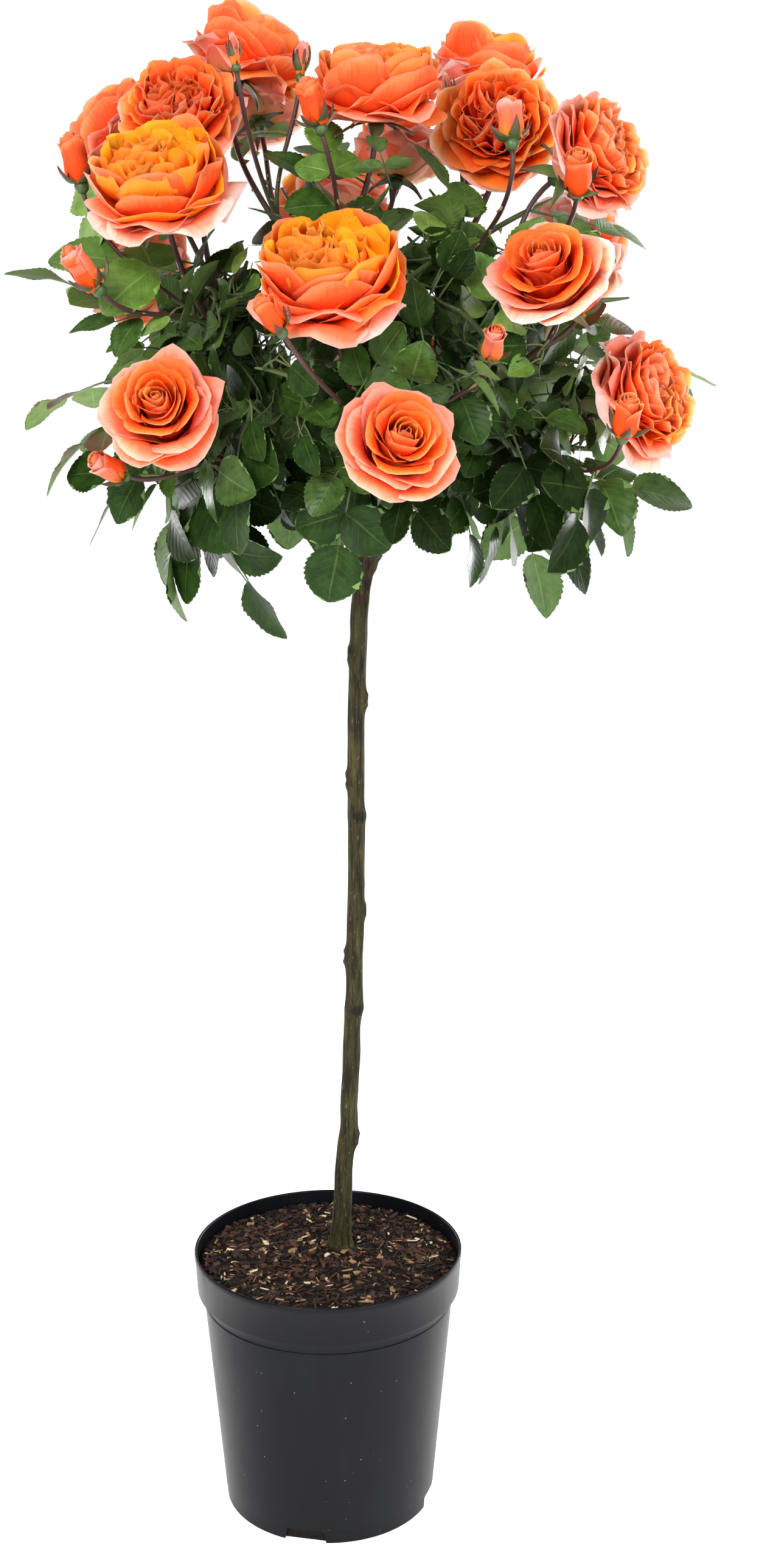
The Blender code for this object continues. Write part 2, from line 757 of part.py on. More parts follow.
# ---------------------------------------------------------------- leaves
def make_spray(rng, place, way, turn, scale, spread):
    """Draws one compound leaf on a twig: a stalk with an end leaflet and one or two pairs."""
    outward = (place - CROWN_CENTRE).normalized()
    side = Matrix.Rotation(turn, 3, way) @ way.orthogonal().normalized()
    low = min(1.0, max(0.0, (HANG_FROM - place.z) / HANG_DEPTH))
    droop = rng.uniform(*DROOPS) + low * HANG
    lean = way * rng.uniform(*ALONG_SHARES) + outward * rng.uniform(*OUTWARD_SHARES)
    direction = side * spread + lean - UP * droop
    level = max(0.0, direction.dot(outward)) * rng.uniform(*FLATTENS)
    direction = (direction - outward * level).normalized()
    face = outward * rng.uniform(*FACE_OUTWARD) + UP * rng.uniform(*FACE_UP)
    level, rise = FACE_WANDER
    face += Vector((rng.uniform(-level, level), rng.uniform(-level, level), rng.uniform(-rise, rise)))
    face = (face - direction * face.dot(direction)).normalized()
    size = rng.uniform(*LEAFLET_LENGTHS) * LEAFLET_SCALE * scale
    pairs = 2 if rng.random() < TWO_PAIR_SHARE else 1
    petiole = rng.uniform(*PETIOLE_LENGTHS)
    step = size * PAIR_STEP
    across = face.cross(direction)
    stalk = [place, place + direction * (petiole + step * pairs)]
    leaflets = [Leaflet(stalk[1], direction, face, size)]
    for index in range(pairs):
        node = stalk[1] - direction * step * (index + 1)
        for hand in (1.0, -1.0):
            out = (across * hand * PAIR_ASIDE + direction * PAIR_FORWARD - face * PAIR_DROP).normalized()
            tilt = (face + across * hand * rng.uniform(*PAIR_TILTS)).normalized()
            tilt = (tilt - out * tilt.dot(out)).normalized()
            leaflets.append(Leaflet(node, out, tilt, size * PAIR_SHARES[index]))
    return Spray(stalk, leaflets)


def leaflet_corners(leaflet):
    """The four corners of a leaflet: root, one side, tip, other side."""
    across = leaflet.face.cross(leaflet.way)
    half = leaflet.length * LEAFLET_WIDTH / 2
    widest = leaflet.root + leaflet.way * leaflet.length * LEAFLET_WIDEST
    sag = leaflet.face * leaflet.length * LEAFLET_SAG
    tip = leaflet.root + leaflet.way * leaflet.length - sag
    return (leaflet.root, widest + across * half, tip, widest - across * half)


def spray_samples(spray):
    """Places all over a spray that have to lie in its mass's space."""
    samples = list(spray.stalk[1:])
    for leaflet in spray.leaflets:
        corners = leaflet_corners(leaflet)
        samples += corners[1:]
        samples += [(first + second) / 2 for first, second in zip(corners, corners[1:] + corners[:1])]
    return samples


def spray_tree(spray):
    """A search tree over a spray's leaflets, as flat kites."""
    corners = []
    faces = []
    for leaflet in spray.leaflets:
        first = len(corners)
        root, left, tip, right = leaflet_corners(leaflet)
        corners += [root, left, tip, right]
        faces += [(first, first + 1, first + 2), (first, first + 2, first + 3)]
    root, end = spray.stalk
    way = (end - root).normalized()
    first = len(corners)
    corners += [root + way * STALK_FREE, end, end + spray.leaflets[0].face * PETIOLE_RADIUS]
    faces.append((first, first + 1, first + 2))
    return BVHTree.FromPolygons(corners, faces)


def hides_bloom(sample, shoots):
    """True where a place lies in a bloom or in front of its open face."""
    for shoot in shoots:
        if shoot.kind == "leafy":
            continue
        offset = sample - shoot.end
        half = shoot.width / 2
        if offset.length < half * BLOOM_CLEAR:
            return True
        ahead = offset.dot(shoot.facing)
        if shoot.kind != "bud" and 0 < ahead < FACE_CLEAR_DEPTH:
            if (offset - shoot.facing * ahead).length < half * FACE_CLEAR_SHARE:
                return True
    return False


def veils_bloom(sample, shoots):
    """True where a place would hide a front bloom from the front, or stands above the crown's leaves."""
    if sample.z > LEAF_CEILING:
        return True
    for shoot in shoots:
        if shoot.kind not in BLOOM_OUTLINES or shoot.end.y > FRONT_BLOOM_DEPTH:
            continue
        offset = sample - shoot.end
        aside = math.hypot(offset.x, offset.z)
        if -FRONT_CLEAR_DEPTH < offset.y < 0 and aside < shoot.width / 2 * FRONT_CLEAR_SHARE:
            return True
    return False


def grow_sprays(rng, number, twigs, space, limb_trees, twig_tree, shoots):
    """Sets sprays along a mass's twigs; one that would leave its space or touch anything is skipped.

    Leafy twigs get the spray at their own end first, so that the crown keeps its reach.
    """
    spots = []
    for twig in twigs:
        if twig.shoot.kind == "leafy":
            spots.append((*along_course(twig.course, 1.0), END_SPREAD))
    for twig in twigs:
        length = course_length(twig.course)
        kind = twig.shoot.kind if twig.shoot.kind in LEAF_LAST else "bloom"
        distance = LEAF_FIRST
        while distance < length - LEAF_LAST[kind]:
            spots.append((*along_course(twig.course, distance / length), 1.0))
            distance += LEAF_SPACING
    kept = []
    trees = []
    turn = rng.uniform(0, math.tau)
    for place, way, spread in spots:
        turn += GOLDEN_TURN
        for attempt in range(LEAF_TRIES):
            spray = make_spray(rng, place, way, turn + attempt * RETRY_TURN, TRY_SHRINK ** attempt, spread)
            if fits(spray, number, space, limb_trees, twig_tree, trees, shoots):
                kept.append(spray)
                trees.append(spray_tree(spray))
                break
    return kept


def fits(spray, number, space, limb_trees, twig_tree, trees, shoots):
    """True where a spray keeps its space and touches no limb, twig, bloom or other spray."""
    samples = spray_samples(spray)
    if any(hides_bloom(sample, shoots) or veils_bloom(sample, shoots) for sample in samples):
        return False
    if not space.holds(number, samples):
        return False
    tree = spray_tree(spray)
    for limb in limb_trees:
        if tree.overlap(limb):
            return False
        for sample in samples:
            if limb.find_nearest(sample)[3] < LIMB_MARGIN:
                return False
    if tree.overlap(twig_tree):
        return False
    return not any(tree.overlap(other) for other in trees)


# ---------------------------------------------------------------- solids of a mass
def coarse(course, step):
    """A course with fewer points, about a step apart."""
    count = max(2, round(course_length(course) / step))
    return [along_course(course, index / count)[0] for index in range(count + 1)]


def twig_solid(twig):
    """A three-sided tapering twig."""
    course = coarse(twig.course, TWIG_STEP)
    last = len(course) - 1
    radii = [twig.base_radius + (twig.tip_radius - twig.base_radius) * index / last
             for index in range(len(course))]
    return tube(course, [radius * TWIG_FULLNESS for radius in radii], TWIG_SIDES)


def draw_out(bm, root_face, leaflet):
    """Draws a leaflet out of a face of its stalk: out to its widest, then on to its tip."""
    _, left, tip, right = leaflet_corners(leaflet)
    middle = (left + right) / 2
    across = (left - right).normalized()
    centre = root_face.calc_center_median()
    blade = bmesh.ops.extrude_discrete_faces(bm, faces=[root_face])["faces"][0]
    for vert in blade.verts:
        offset = vert.co - centre
        level = LEAFLET_THICKNESS / 2 if offset.dot(leaflet.face) > 0 else -LEAFLET_THICKNESS / 2
        aside = offset.dot(across)
        edge = left if aside > 0 else right
        if abs(aside) < PETIOLE_RADIUS * PETIOLE_MIDDLE:
            edge = middle
        vert.co = edge + leaflet.face * level
    peak = bmesh.ops.poke(bm, faces=[blade])["verts"][0]
    peak.co = tip


def spray_solid(spray):
    """One compound leaf as a single closed piece: its leaflets are drawn out of its stalk."""
    root, end = spray.stalk
    way = (end - root).normalized()
    face = spray.leaflets[0].face
    pairs = [spray.leaflets[index:index + 2] for index in range(1, len(spray.leaflets), 2)]
    course = [root]
    for pair in reversed(pairs):
        course += [pair[0].root - way * PAIR_FOOT / 2, pair[0].root + way * PAIR_FOOT / 2]
    course.append(end)
    last = len(course) - 1
    thick, slim = PETIOLE_TAPER
    radii = [PETIOLE_RADIUS * (thick + (slim - thick) * index / last) for index in range(last + 1)]
    radii[0] = PETIOLE_ROOT_RADIUS
    bm = tube(course, radii, TWIG_SIDES, ridge=face)
    roots = [(end, spray.leaflets[0])]
    for leaflet in spray.leaflets[1:]:
        aside = leaflet.way - way * leaflet.way.dot(way)
        spot = leaflet.root + (aside.normalized() * PETIOLE_ASIDE + face * PETIOLE_ABOVE) * PETIOLE_RADIUS
        roots.append((spot, leaflet))
    for spot, leaflet in roots:
        root_face = min(bm.faces, key=lambda side: (side.calc_center_median() - spot).length)
        draw_out(bm, root_face, leaflet)
    bmesh.ops.recalc_face_normals(bm, faces=bm.faces)
    return bm


def bloom_solid(shoot):
    """An open bloom: a ball drawn out to the bloom's outline, with petal lobes round its rings."""
    outline = BLOOM_OUTLINES[shoot.kind]
    bm = bmesh.new()
    bmesh.ops.create_uvsphere(bm, u_segments=BLOOM_SIDES, v_segments=BLOOM_RINGS, radius=1.0)
    for vert in bm.verts:
        ring = round((1 - math.acos(max(-1.0, min(1.0, vert.co.z))) / math.pi) * BLOOM_RINGS)
        radius, height = outline[ring]
        angle = math.atan2(vert.co.y, vert.co.x)
        lobe = 1 + PETAL_LOBE * math.cos(BLOOM_SIDES / 2 * angle + math.pi * ring)
        vert.co = Vector((math.cos(angle) * radius * lobe, math.sin(angle) * radius * lobe, height))
    place_on_axis(bm, shoot.end, shoot.facing, shoot.width / 2)
    return bm


def bud_solid(shoot):
    """A closed bud: a drop that narrows to its tip."""
    bm = bmesh.new()
    bmesh.ops.create_uvsphere(bm, u_segments=BUD_SIDES, v_segments=BUD_RINGS, radius=1.0)
    for vert in bm.verts:
        narrow = 1.0 - BUD_NARROWING * vert.co.z
        vert.co.x *= narrow
        vert.co.y *= narrow
        vert.co.z *= BUD_LENGTH
    place_on_axis(bm, shoot.end, shoot.facing, shoot.width / 2)
    return bm


def place_on_axis(bm, centre, axis, size):
    """Scales a bmesh, turns its Z to an axis and moves it to its centre."""
    turn = axis.to_track_quat("Z", "Y").to_matrix().to_4x4()
    matrix = Matrix.Translation(centre) @ turn @ Matrix.Scale(size, 4)
    bmesh.ops.transform(bm, matrix=matrix, verts=bm.verts)
    bmesh.ops.recalc_face_normals(bm, faces=bm.faces)


def fuse(name, pieces, material, plant):
    """Joins the pieces of one mass into a single closed solid by one union on a collection."""
    base = add_object(name, pieces[0], material, plant)
    group = bpy.data.collections.new(name + "_pieces")
    bpy.context.scene.collection.children.link(group)
    for piece in pieces[1:]:
        add_object(name + "_piece", piece, material, group)
    union = base.modifiers.new("union", "BOOLEAN")
    union.operation = "UNION"
    union.operand_type = "COLLECTION"
    union.collection = group
    graph = bpy.context.evaluated_depsgraph_get()
    joined = bpy.data.meshes.new_from_object(base.evaluated_get(graph))
    base.modifiers.remove(union)
    base.data = joined
    for piece in list(group.objects):
        bpy.data.objects.remove(piece)
    bpy.data.collections.remove(group)
    keep_largest_shell(joined)
    return base


def keep_largest_shell(mesh):
    """Drops loose scraps and fills sealed hollows, which leaves the one outer skin."""
    bm = bmesh.new()
    bm.from_mesh(mesh)
    bmesh.ops.triangulate(bm, faces=bm.faces)
    waiting = set(bm.faces)
    shells = []
    while waiting:
        shell = {waiting.pop()}
        front = list(shell)
        while front:
            face = front.pop()
            for edge in face.edges:
                for other in edge.link_faces:
                    if other in waiting:
                        waiting.remove(other)
                        shell.add(other)
                        front.append(other)
        shells.append(shell)
    largest = max(shells, key=len)
    extra = [face for shell in shells if shell is not largest for face in shell]
    if extra:
        bmesh.ops.delete(bm, geom=extra, context="FACES")
        loose = [vert for vert in bm.verts if not vert.link_faces]
        bmesh.ops.delete(bm, geom=loose, context="VERTS")
    bm.to_mesh(mesh)
    bm.free()


def mass_pieces(stem_course, twigs, sprays):
    """Every piece of one mass, the stem first."""
    pieces = [tube(stem_course, [TWIG_BASE_RADIUS, TWIG_BASE_RADIUS], BOUGH_SIDES)]
    for twig in twigs:
        pieces.append(twig_solid(twig))
        if twig.shoot.kind == "bud":
            pieces.append(bud_solid(twig.shoot))
        elif twig.shoot.kind in BLOOM_OUTLINES:
            pieces.append(bloom_solid(twig.shoot))
    pieces += [spray_solid(spray) for spray in sprays]
    return pieces


def twigs_tree(twigs):
    """A search tree over a mass's twigs, as slim tubes."""
    whole = bmesh.new()
    for twig in twigs:
        course = coarse(twig.course, TWIG_STEP)
        piece = tube(course, [twig.tip_radius] * len(course), TWIG_SIDES)
        scratch = bpy.data.meshes.new("scratch")
        piece.to_mesh(scratch)
        piece.free()
        whole.from_mesh(scratch)
        bpy.data.meshes.remove(scratch)
    tree = BVHTree.FromBMesh(whole)
    whole.free()
    return tree


def make_foliage(material, plant, limbs, courses):
    """Grows and fuses every mass of foliage."""
    stems = []
    skeletons = []
    for carrier, shoots in MASSES.values():
        course, way = courses[carrier]
        root = course[-1] + way * GAP
        stems.append([root, root + way * STEM_LENGTH])
        skeletons.append(grow_twigs(root + way * STEM_LENGTH * 0.5, way, shoots))
    space = Space(skeletons)
    limb_trees = [solid_tree(limb) for limb in limbs.values()]
    every_shoot = [shoot for _, shoots in MASSES.values() for shoot in shoots]
    for number, name in enumerate(MASSES):
        rng = random.Random(LEAF_SEED + number)
        twigs = skeletons[number]
        sprays = grow_sprays(rng, number, twigs, space, limb_trees, twigs_tree(twigs), every_shoot)
        made = fuse(name, mass_pieces(stems[number], twigs, sprays), material, plant)
        print(name, "sprays", len(sprays), "leaflets", sum(len(spray.leaflets) for spray in sprays),
              "triangles", len(made.data.polygons))


def main():
    """Builds the whole plant."""
    clear_scene()
    finishes = make_finishes()
    plant = bpy.data.collections.new("potted_standard_rose")
    cutters = bpy.data.collections.new("cutters")
    bpy.context.scene.collection.children.link(plant)
    bpy.context.scene.collection.children.link(cutters)
    make_pot(finishes["pot"], plant, cutters)
    make_compost(finishes["compost"], plant)
    trunk = make_trunk(finishes["bark"], plant)
    limbs, courses = make_boughs(finishes["bark"], plant, trunk)
    make_foliage(finishes["foliage"], plant, limbs, courses)


main()
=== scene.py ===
"""Looks of a potted standard rose in full bloom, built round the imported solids.

Metres, +Z up.  The origin is the middle of the pot's underside and the front of the plant looks along -Y.
The pot, its compost, the stem with its boughs and each mass of foliage have a class of their own.  The
foliage grows by the rule and the seeds of the solids, and is then carried on to finer shoots, fuller leaves
and single petals.
"""

import logging
import math
import random
from collections.abc import Callable
from dataclasses import dataclass, field
from enum import Enum
from functools import lru_cache

import bmesh
import bpy
import numpy as np
from mathutils import Matrix, Vector, noise
from mathutils.bvhtree import BVHTree


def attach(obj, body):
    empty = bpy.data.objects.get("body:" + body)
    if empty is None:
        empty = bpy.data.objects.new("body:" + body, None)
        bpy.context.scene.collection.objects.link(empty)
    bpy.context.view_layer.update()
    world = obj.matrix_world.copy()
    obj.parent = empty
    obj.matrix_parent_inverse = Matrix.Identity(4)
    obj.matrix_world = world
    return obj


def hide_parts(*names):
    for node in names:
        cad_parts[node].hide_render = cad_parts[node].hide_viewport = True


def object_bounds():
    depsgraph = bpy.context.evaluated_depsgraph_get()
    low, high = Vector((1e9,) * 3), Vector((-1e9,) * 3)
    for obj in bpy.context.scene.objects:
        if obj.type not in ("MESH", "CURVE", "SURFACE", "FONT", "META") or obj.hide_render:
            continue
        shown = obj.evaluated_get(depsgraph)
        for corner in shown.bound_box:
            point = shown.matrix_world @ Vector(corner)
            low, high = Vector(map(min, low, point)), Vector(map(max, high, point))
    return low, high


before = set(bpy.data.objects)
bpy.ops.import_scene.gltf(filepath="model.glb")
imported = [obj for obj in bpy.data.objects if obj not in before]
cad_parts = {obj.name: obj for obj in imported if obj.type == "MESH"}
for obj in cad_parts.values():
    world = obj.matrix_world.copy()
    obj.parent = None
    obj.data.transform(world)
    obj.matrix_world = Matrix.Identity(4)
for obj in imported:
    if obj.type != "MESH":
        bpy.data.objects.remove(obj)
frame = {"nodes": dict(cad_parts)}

CAD_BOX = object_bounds()
BOX_CORNERS = tuple(np.array(corner[:]) for corner in CAD_BOX)
LOG = logging.getLogger("rose")

MM = 0.001
GAP = 0.0003
UP = Vector((0.0, 0.0, 1.0))
GOLDEN_TURN = math.radians(137.5)
BODY = "root"
ATLAS_MAP = "OFBake"
ATLAS_SIDE = 4
CELL_MARGIN = 0.04
RIM_ANGLE = math.radians(100.0)


# ---------------------------------------------------------------- small helpers
def clamped(share: float) -> float:
    """A share kept from 0 to 1."""
    return max(0.0, min(1.0, share))


def eased(share: float) -> float:
    """A share that starts and ends gently."""
    return share * share * (3 - 2 * share)


def between(first: float, last: float, share: float) -> float:
    """The number at a share of the way from the first to the last."""
    return first + (last - first) * share


def linked(name: str, data: bpy.types.ID) -> bpy.types.Object:
    """Makes an object of a mesh, a lamp or a camera, and links it to the scene."""
    made = bpy.data.objects.new(name, data)
    bpy.context.scene.collection.objects.link(made)
    return made


# ---------------------------------------------------------------- shader maths
def tone(*levels: float) -> tuple:
    """The linear colour, with an alpha of 1, of a screen colour's three levels from 0 to 255."""
    shares = (level / 255 for level in levels)
    linear = (share / 12.92 if share <= 0.04045 else ((share + 0.055) / 1.055) ** 2.4 for share in shares)
    return (*linear, 1.0)


def maths(operation: str, flipped: bool = False) -> Callable:
    """A method of Value that adds a Math node.

    Args:
        operation: The Math node's operation.
        flipped: True where the value itself is the node's last input.

    Returns:
        The method.
    """

    def method(value: "Value", *others: object) -> "Value":
        """The node's result."""
        inputs = (*others, value) if flipped else (value, *others)
        return value.shader.node("ShaderNodeMath", {"operation": operation}, dict(enumerate(inputs)))

    return method


class Value:
    """A shader socket that takes part in Python expressions."""

    def __init__(self, shader: "Shader", socket: bpy.types.NodeSocket) -> None:
        """Keeps the shader that the socket belongs to."""
        self.shader = shader
        self.socket = socket

    __add__, __radd__ = maths("ADD"), maths("ADD", flipped=True)
    __sub__, __rsub__ = maths("SUBTRACT"), maths("SUBTRACT", flipped=True)
    __mul__, __rmul__ = maths("MULTIPLY"), maths("MULTIPLY", flipped=True)
    __pow__, larger = maths("POWER"), maths("MAXIMUM")
    absolute, fraction = maths("ABSOLUTE"), maths("FRACT")

    def smooth(self, low: float, high: float, first: float = 0.0, last: float = 1.0) -> "Value":
        """Goes smoothly from the first number at low to the last at high."""
        settings = {"interpolation_type": "SMOOTHSTEP"}
        return self.shader.node("ShaderNodeMapRange", settings, {0: self, 1: low, 2: high, 3: first, 4: last})


class Shader:
    """One material, or the world, under construction."""

    def __init__(self, name: str, world: bool = False) -> None:
        """Starts an empty node tree.

        Args:
            name: The material's or the world's name.
            world: True for the world.
        """
        self.owner = (bpy.data.worlds if world else bpy.data.materials).new(name)
        self.owner.use_nodes = True
        self.tree = self.owner.node_tree
        self.tree.nodes.clear()

    def node(self, kind: str, settings: dict = None, inputs: dict = None, output: int = 0) -> Value:
        """Adds a node: its settings first, then the values or links of its sockets.

        Args:
            kind: The node's type.
            settings: Its properties by name; a ramp's stops are under "stops".
            inputs: Its sockets by name or number, each a number, a tuple or a Value.
            output: Which of its results is handed back.

        Returns:
            The chosen result.
        """
        made = self.tree.nodes.new(kind)
        for key, value in (settings or {}).items():
            if key == "stops":
                self.set_stops(made.color_ramp, value)
            else:
                setattr(made, key, value)
        for key, value in (inputs or {}).items():
            if isinstance(value, Value):
                self.tree.links.new(value.socket, made.inputs[key])
            else:
                made.inputs[key].default_value = value
        return Value(self, made.outputs[output])

    @staticmethod
    def set_stops(ramp: bpy.types.ColorRamp, stops: tuple) -> None:
        """Gives a ramp its stops, which are pairs of place and colour."""
        while len(ramp.elements) < len(stops):
            ramp.elements.new(1.0)
        for element, (place, colour) in zip(ramp.elements, stops):
            element.position = place
            element.color = colour

    def split(self, vector: Value) -> tuple:
        """The X, Y and Z of a vector."""
        parts = self.node("ShaderNodeSeparateXYZ", None, {0: vector}).socket.node.outputs
        return tuple(Value(self, part) for part in parts)

    def joined(self, first: object, second: object, third: object = 0.0) -> Value:
        """A vector from its X, Y and Z."""
        return self.node("ShaderNodeCombineXYZ", None, {0: first, 1: second, 2: third})

    def mix(self, share: object, first: object, second: object) -> Value:
        """Mixes a share of the second colour into the first."""
        settings = {"data_type": "RGBA", "blend_type": "MIX", "clamp_factor": True}
        return self.node("ShaderNodeMix", settings, {0: share, 6: first, 7: second}, 2)

    def ramp(self, share: Value, stops: tuple) -> Value:
        """The colour at a share of a ramp, whose stops are pairs of place and colour."""
        return self.node("ShaderNodeValToRGB", {"stops": stops}, {0: share})

    def noise(self, vector: Value, scale: float, detail: float = 3.0, rough: float = 0.5) -> Value:
        """Soft noise about one half.

        Args:
            vector: Where it is read.
            scale: How fine it is.
            detail: How many finer layers it has.
            rough: How strong those layers are.

        Returns:
            A share from 0 to 1.
        """
        inputs = {"Vector": vector, "Scale": scale, "Detail": detail, "Roughness": rough}
        return self.node("ShaderNodeTexNoise", None, inputs)

    def cells(self, vector: Value, scale: float) -> Value:
        """Distance to the nearest of many scattered points."""
        return self.node("ShaderNodeTexVoronoi", None, {"Vector": vector, "Scale": scale})

    def distance(self, vector: Value, spot: tuple) -> Value:
        """Distance from a place to a spot."""
        return self.node("ShaderNodeVectorMath", {"operation": "DISTANCE"}, {0: vector, 1: spot}, 1)

    def place(self) -> Value:
        """The point's place on the object."""
        return self.node("ShaderNodeTexCoord", output=3)

    def stretched(self, vector: Value, scale: tuple) -> Value:
        """A place whose axes are scaled, each by its own number."""
        return self.node("ShaderNodeVectorMath", {"operation": "MULTIPLY"}, {0: vector, 1: scale})

    def bump(self, height: Value, distance: float) -> Value:
        """The direction of a bumped surface, where a relief of 1 stands a distance high in metres."""
        return self.node("ShaderNodeBump", None, {"Strength": 1.0, "Distance": distance, "Height": height})

    def finish(self, **sockets: object) -> bpy.types.Material:
        """Ends the tree with a Principled shader.

        Args:
            sockets: The shader's sockets, with _ for each space in their names.

        Returns:
            The finished material.
        """
        inputs = {key.replace("_", " "): value for key, value in sockets.items()}
        return self.close("ShaderNodeOutputMaterial", self.node("ShaderNodeBsdfPrincipled", None, inputs))

    def close(self, output: str, surface: Value) -> bpy.types.ID:
        """Ends the tree with an output node of the given type, and hands back its owner."""
        made = self.tree.nodes.new(output)
        self.tree.links.new(surface.socket, made.inputs["Surface"])
        return self.owner

    def on_cell(self, number: int) -> tuple:
        """The place on a cell of the shared map: across it and along it, each from 0 to 1."""
        spot = self.node("ShaderNodeUVMap", {"uv_map": ATLAS_MAP})
        across, along, _ = self.split(spot)
        row, column = divmod(number, ATLAS_SIDE)
        zoom = 1 / (1 - 2 * CELL_MARGIN)
        return ((across * ATLAS_SIDE - (column + CELL_MARGIN)) * zoom,
                (along * ATLAS_SIDE - (row + CELL_MARGIN)) * zoom)


# ---------------------------------------------------------------- finishes
@dataclass(frozen=True)
class PlasticFinish:
    """Satin charcoal plastic of a moulded pot, with scuffs and specks of dust."""

    name: str = "charcoal_plastic"
    colour: tuple = tone(10, 11, 15)
    dusty: tuple = tone(24, 27, 31)
    speck: tuple = tone(140, 144, 148)

    def material(self) -> bpy.types.Material:
        """Builds the material."""
        shader = Shader(self.name)
        place = shader.place()
        clouds = shader.noise(place, 14.0, 4.0, 0.55)
        streaks = shader.noise(shader.stretched(place, (1.0, 1.0, 0.14)), 95.0, 3.0, 0.6)
        grain = shader.noise(place, 1500.0, 2.0)
        scuffs = (clouds * 0.6 + streaks * 0.4).smooth(0.50, 0.78)
        base = shader.mix(scuffs * 0.35, self.colour, self.dusty)
        dots = 1 - shader.cells(place, 150.0).smooth(0.035, 0.075)
        rare = shader.noise(place, 32.0, 1.0).smooth(0.56, 0.60)
        base = shader.mix(dots * rare * 0.75, base, self.speck)
        roughness = 0.30 + clouds * 0.10 + scuffs * 0.16
        relief = grain * 0.7 + streaks * 0.3
        return shader.finish(Base_Color=base, Roughness=roughness, Specular_IOR_Level=0.13,
                             Normal=shader.bump(relief, 0.00006))


@dataclass(frozen=True)
class SoilFinish:
    """Dark crumbly compost that shows between its chips."""

    name: str = "dark_compost"
    deep: tuple = tone(9, 7, 6)
    light: tuple = tone(36, 26, 21)

    def material(self) -> bpy.types.Material:
        """Builds the material."""
        shader = Shader(self.name)
        place = shader.place()
        crumbs = shader.cells(place, 420.0)
        base = shader.mix(crumbs.smooth(0.1, 0.7) * shader.noise(place, 160.0, 4.0), self.deep, self.light)
        relief = crumbs * 0.6 + shader.noise(place, 700.0) * 0.4
        return shader.finish(Base_Color=base, Roughness=0.95, Specular_IOR_Level=0.15,
                             Normal=shader.bump(relief, 0.0008))


@dataclass(frozen=True)
class ChipFinish:
    """One colour of bark chip, with its fibres along it."""

    name: str
    dark: tuple
    light: tuple

    def material(self, cell: int) -> bpy.types.Material:
        """Builds the material on its cell of the shared map."""
        shader = Shader(self.name)
        across, along = shader.on_cell(cell)
        fibres = shader.noise(shader.joined(across * 3.0, along * 26.0, cell * 3.7), 1.6, 4.0, 0.6)
        blots = shader.noise(shader.joined(across, along, cell * 1.9), 3.2, 3.0)
        base = shader.mix((fibres * 0.65 + blots * 0.35).smooth(0.34, 0.66), self.dark, self.light)
        return shader.finish(Base_Color=base, Roughness=0.86, Specular_IOR_Level=0.20,
                             Normal=shader.bump(fibres, 0.0004))


@dataclass(frozen=True)
class BarkFinish:
    """Green-brown bark of a rose stem with grey-brown streaks, browner towards the graft."""

    name: str
    green: tuple
    brown: tuple
    dark: tuple
    brown_from: float
    brown_to: float
    moss: tuple = tone(70, 68, 33)
    pale: tuple = tone(150, 146, 122)
    scars: tuple = ()

    def material(self) -> bpy.types.Material:
        """Builds the material."""
        shader = Shader(self.name)
        place = shader.place()
        _, _, height = shader.split(place)
        streaks = shader.noise(shader.stretched(place, (1.0, 1.0, 0.07)), 520.0, 5.0, 0.62)
        patches = shader.noise(shader.stretched(place, (1.0, 1.0, 0.35)), 62.0, 4.0, 0.6)
        cracks = shader.noise(shader.stretched(place, (1.0, 1.0, 0.16)), 900.0, 3.0, 0.7)
        aged = (patches + height.smooth(self.brown_from, self.brown_to) * 0.32 - 0.16).smooth(0.42, 0.58)
        base = shader.mix(aged, self.green, self.brown)
        moss = shader.noise(shader.stretched(place, (1.0, 1.0, 0.22)), 130.0, 3.0, 0.6).smooth(0.50, 0.66)
        base = shader.mix(moss * 0.55, base, self.moss)
        base = shader.mix(streaks.smooth(0.46, 0.62) * 0.80, base, self.dark)
        base = shader.mix(cracks.smooth(0.60, 0.72) * 0.35, base, self.pale)
        for spot, reach in self.scars:
            away = shader.distance(place, spot) * (1 / reach)
            ring = 1 - (away + (cracks - 0.5) * 0.5).smooth(0.35, 1.0)
            base = shader.mix(ring * 0.80, base, self.dark)
        relief = streaks * 0.6 + cracks * 0.25 + patches * 0.15
        return shader.finish(Base_Color=base, Roughness=0.62 + streaks * 0.22, Specular_IOR_Level=0.14,
                             Normal=shader.bump(relief, 0.0008))


@dataclass(frozen=True)
class ShootFinish:
    """Skin of a young shoot, from its base to its tip."""

    name: str
    base: tuple
    middle: tuple
    tip: tuple

    def material(self, cell: int) -> bpy.types.Material:
        """Builds the material on its cell of the shared map."""
        shader = Shader(self.name)
        across, along = shader.on_cell(cell)
        spot = shader.joined(across * 5.0, along * 9.0, cell * 2.3)
        mottle = shader.noise(spot, 3.0, 4.0, 0.6)
        lines = shader.noise(shader.joined(across * 24.0, along * 2.0, cell * 1.1), 2.0, 2.0)
        stops = ((0.0, self.base), (0.14, self.base), (0.40, self.middle), (0.80, self.tip))
        colour = shader.ramp(along + (mottle - 0.5) * 0.30, stops)
        colour = shader.mix(lines.smooth(0.5, 0.8) * 0.35, colour, self.tip)
        relief = mottle * 0.5 + lines * 0.5
        return shader.finish(Base_Color=colour, Roughness=0.46, Normal=shader.bump(relief, 0.0003))


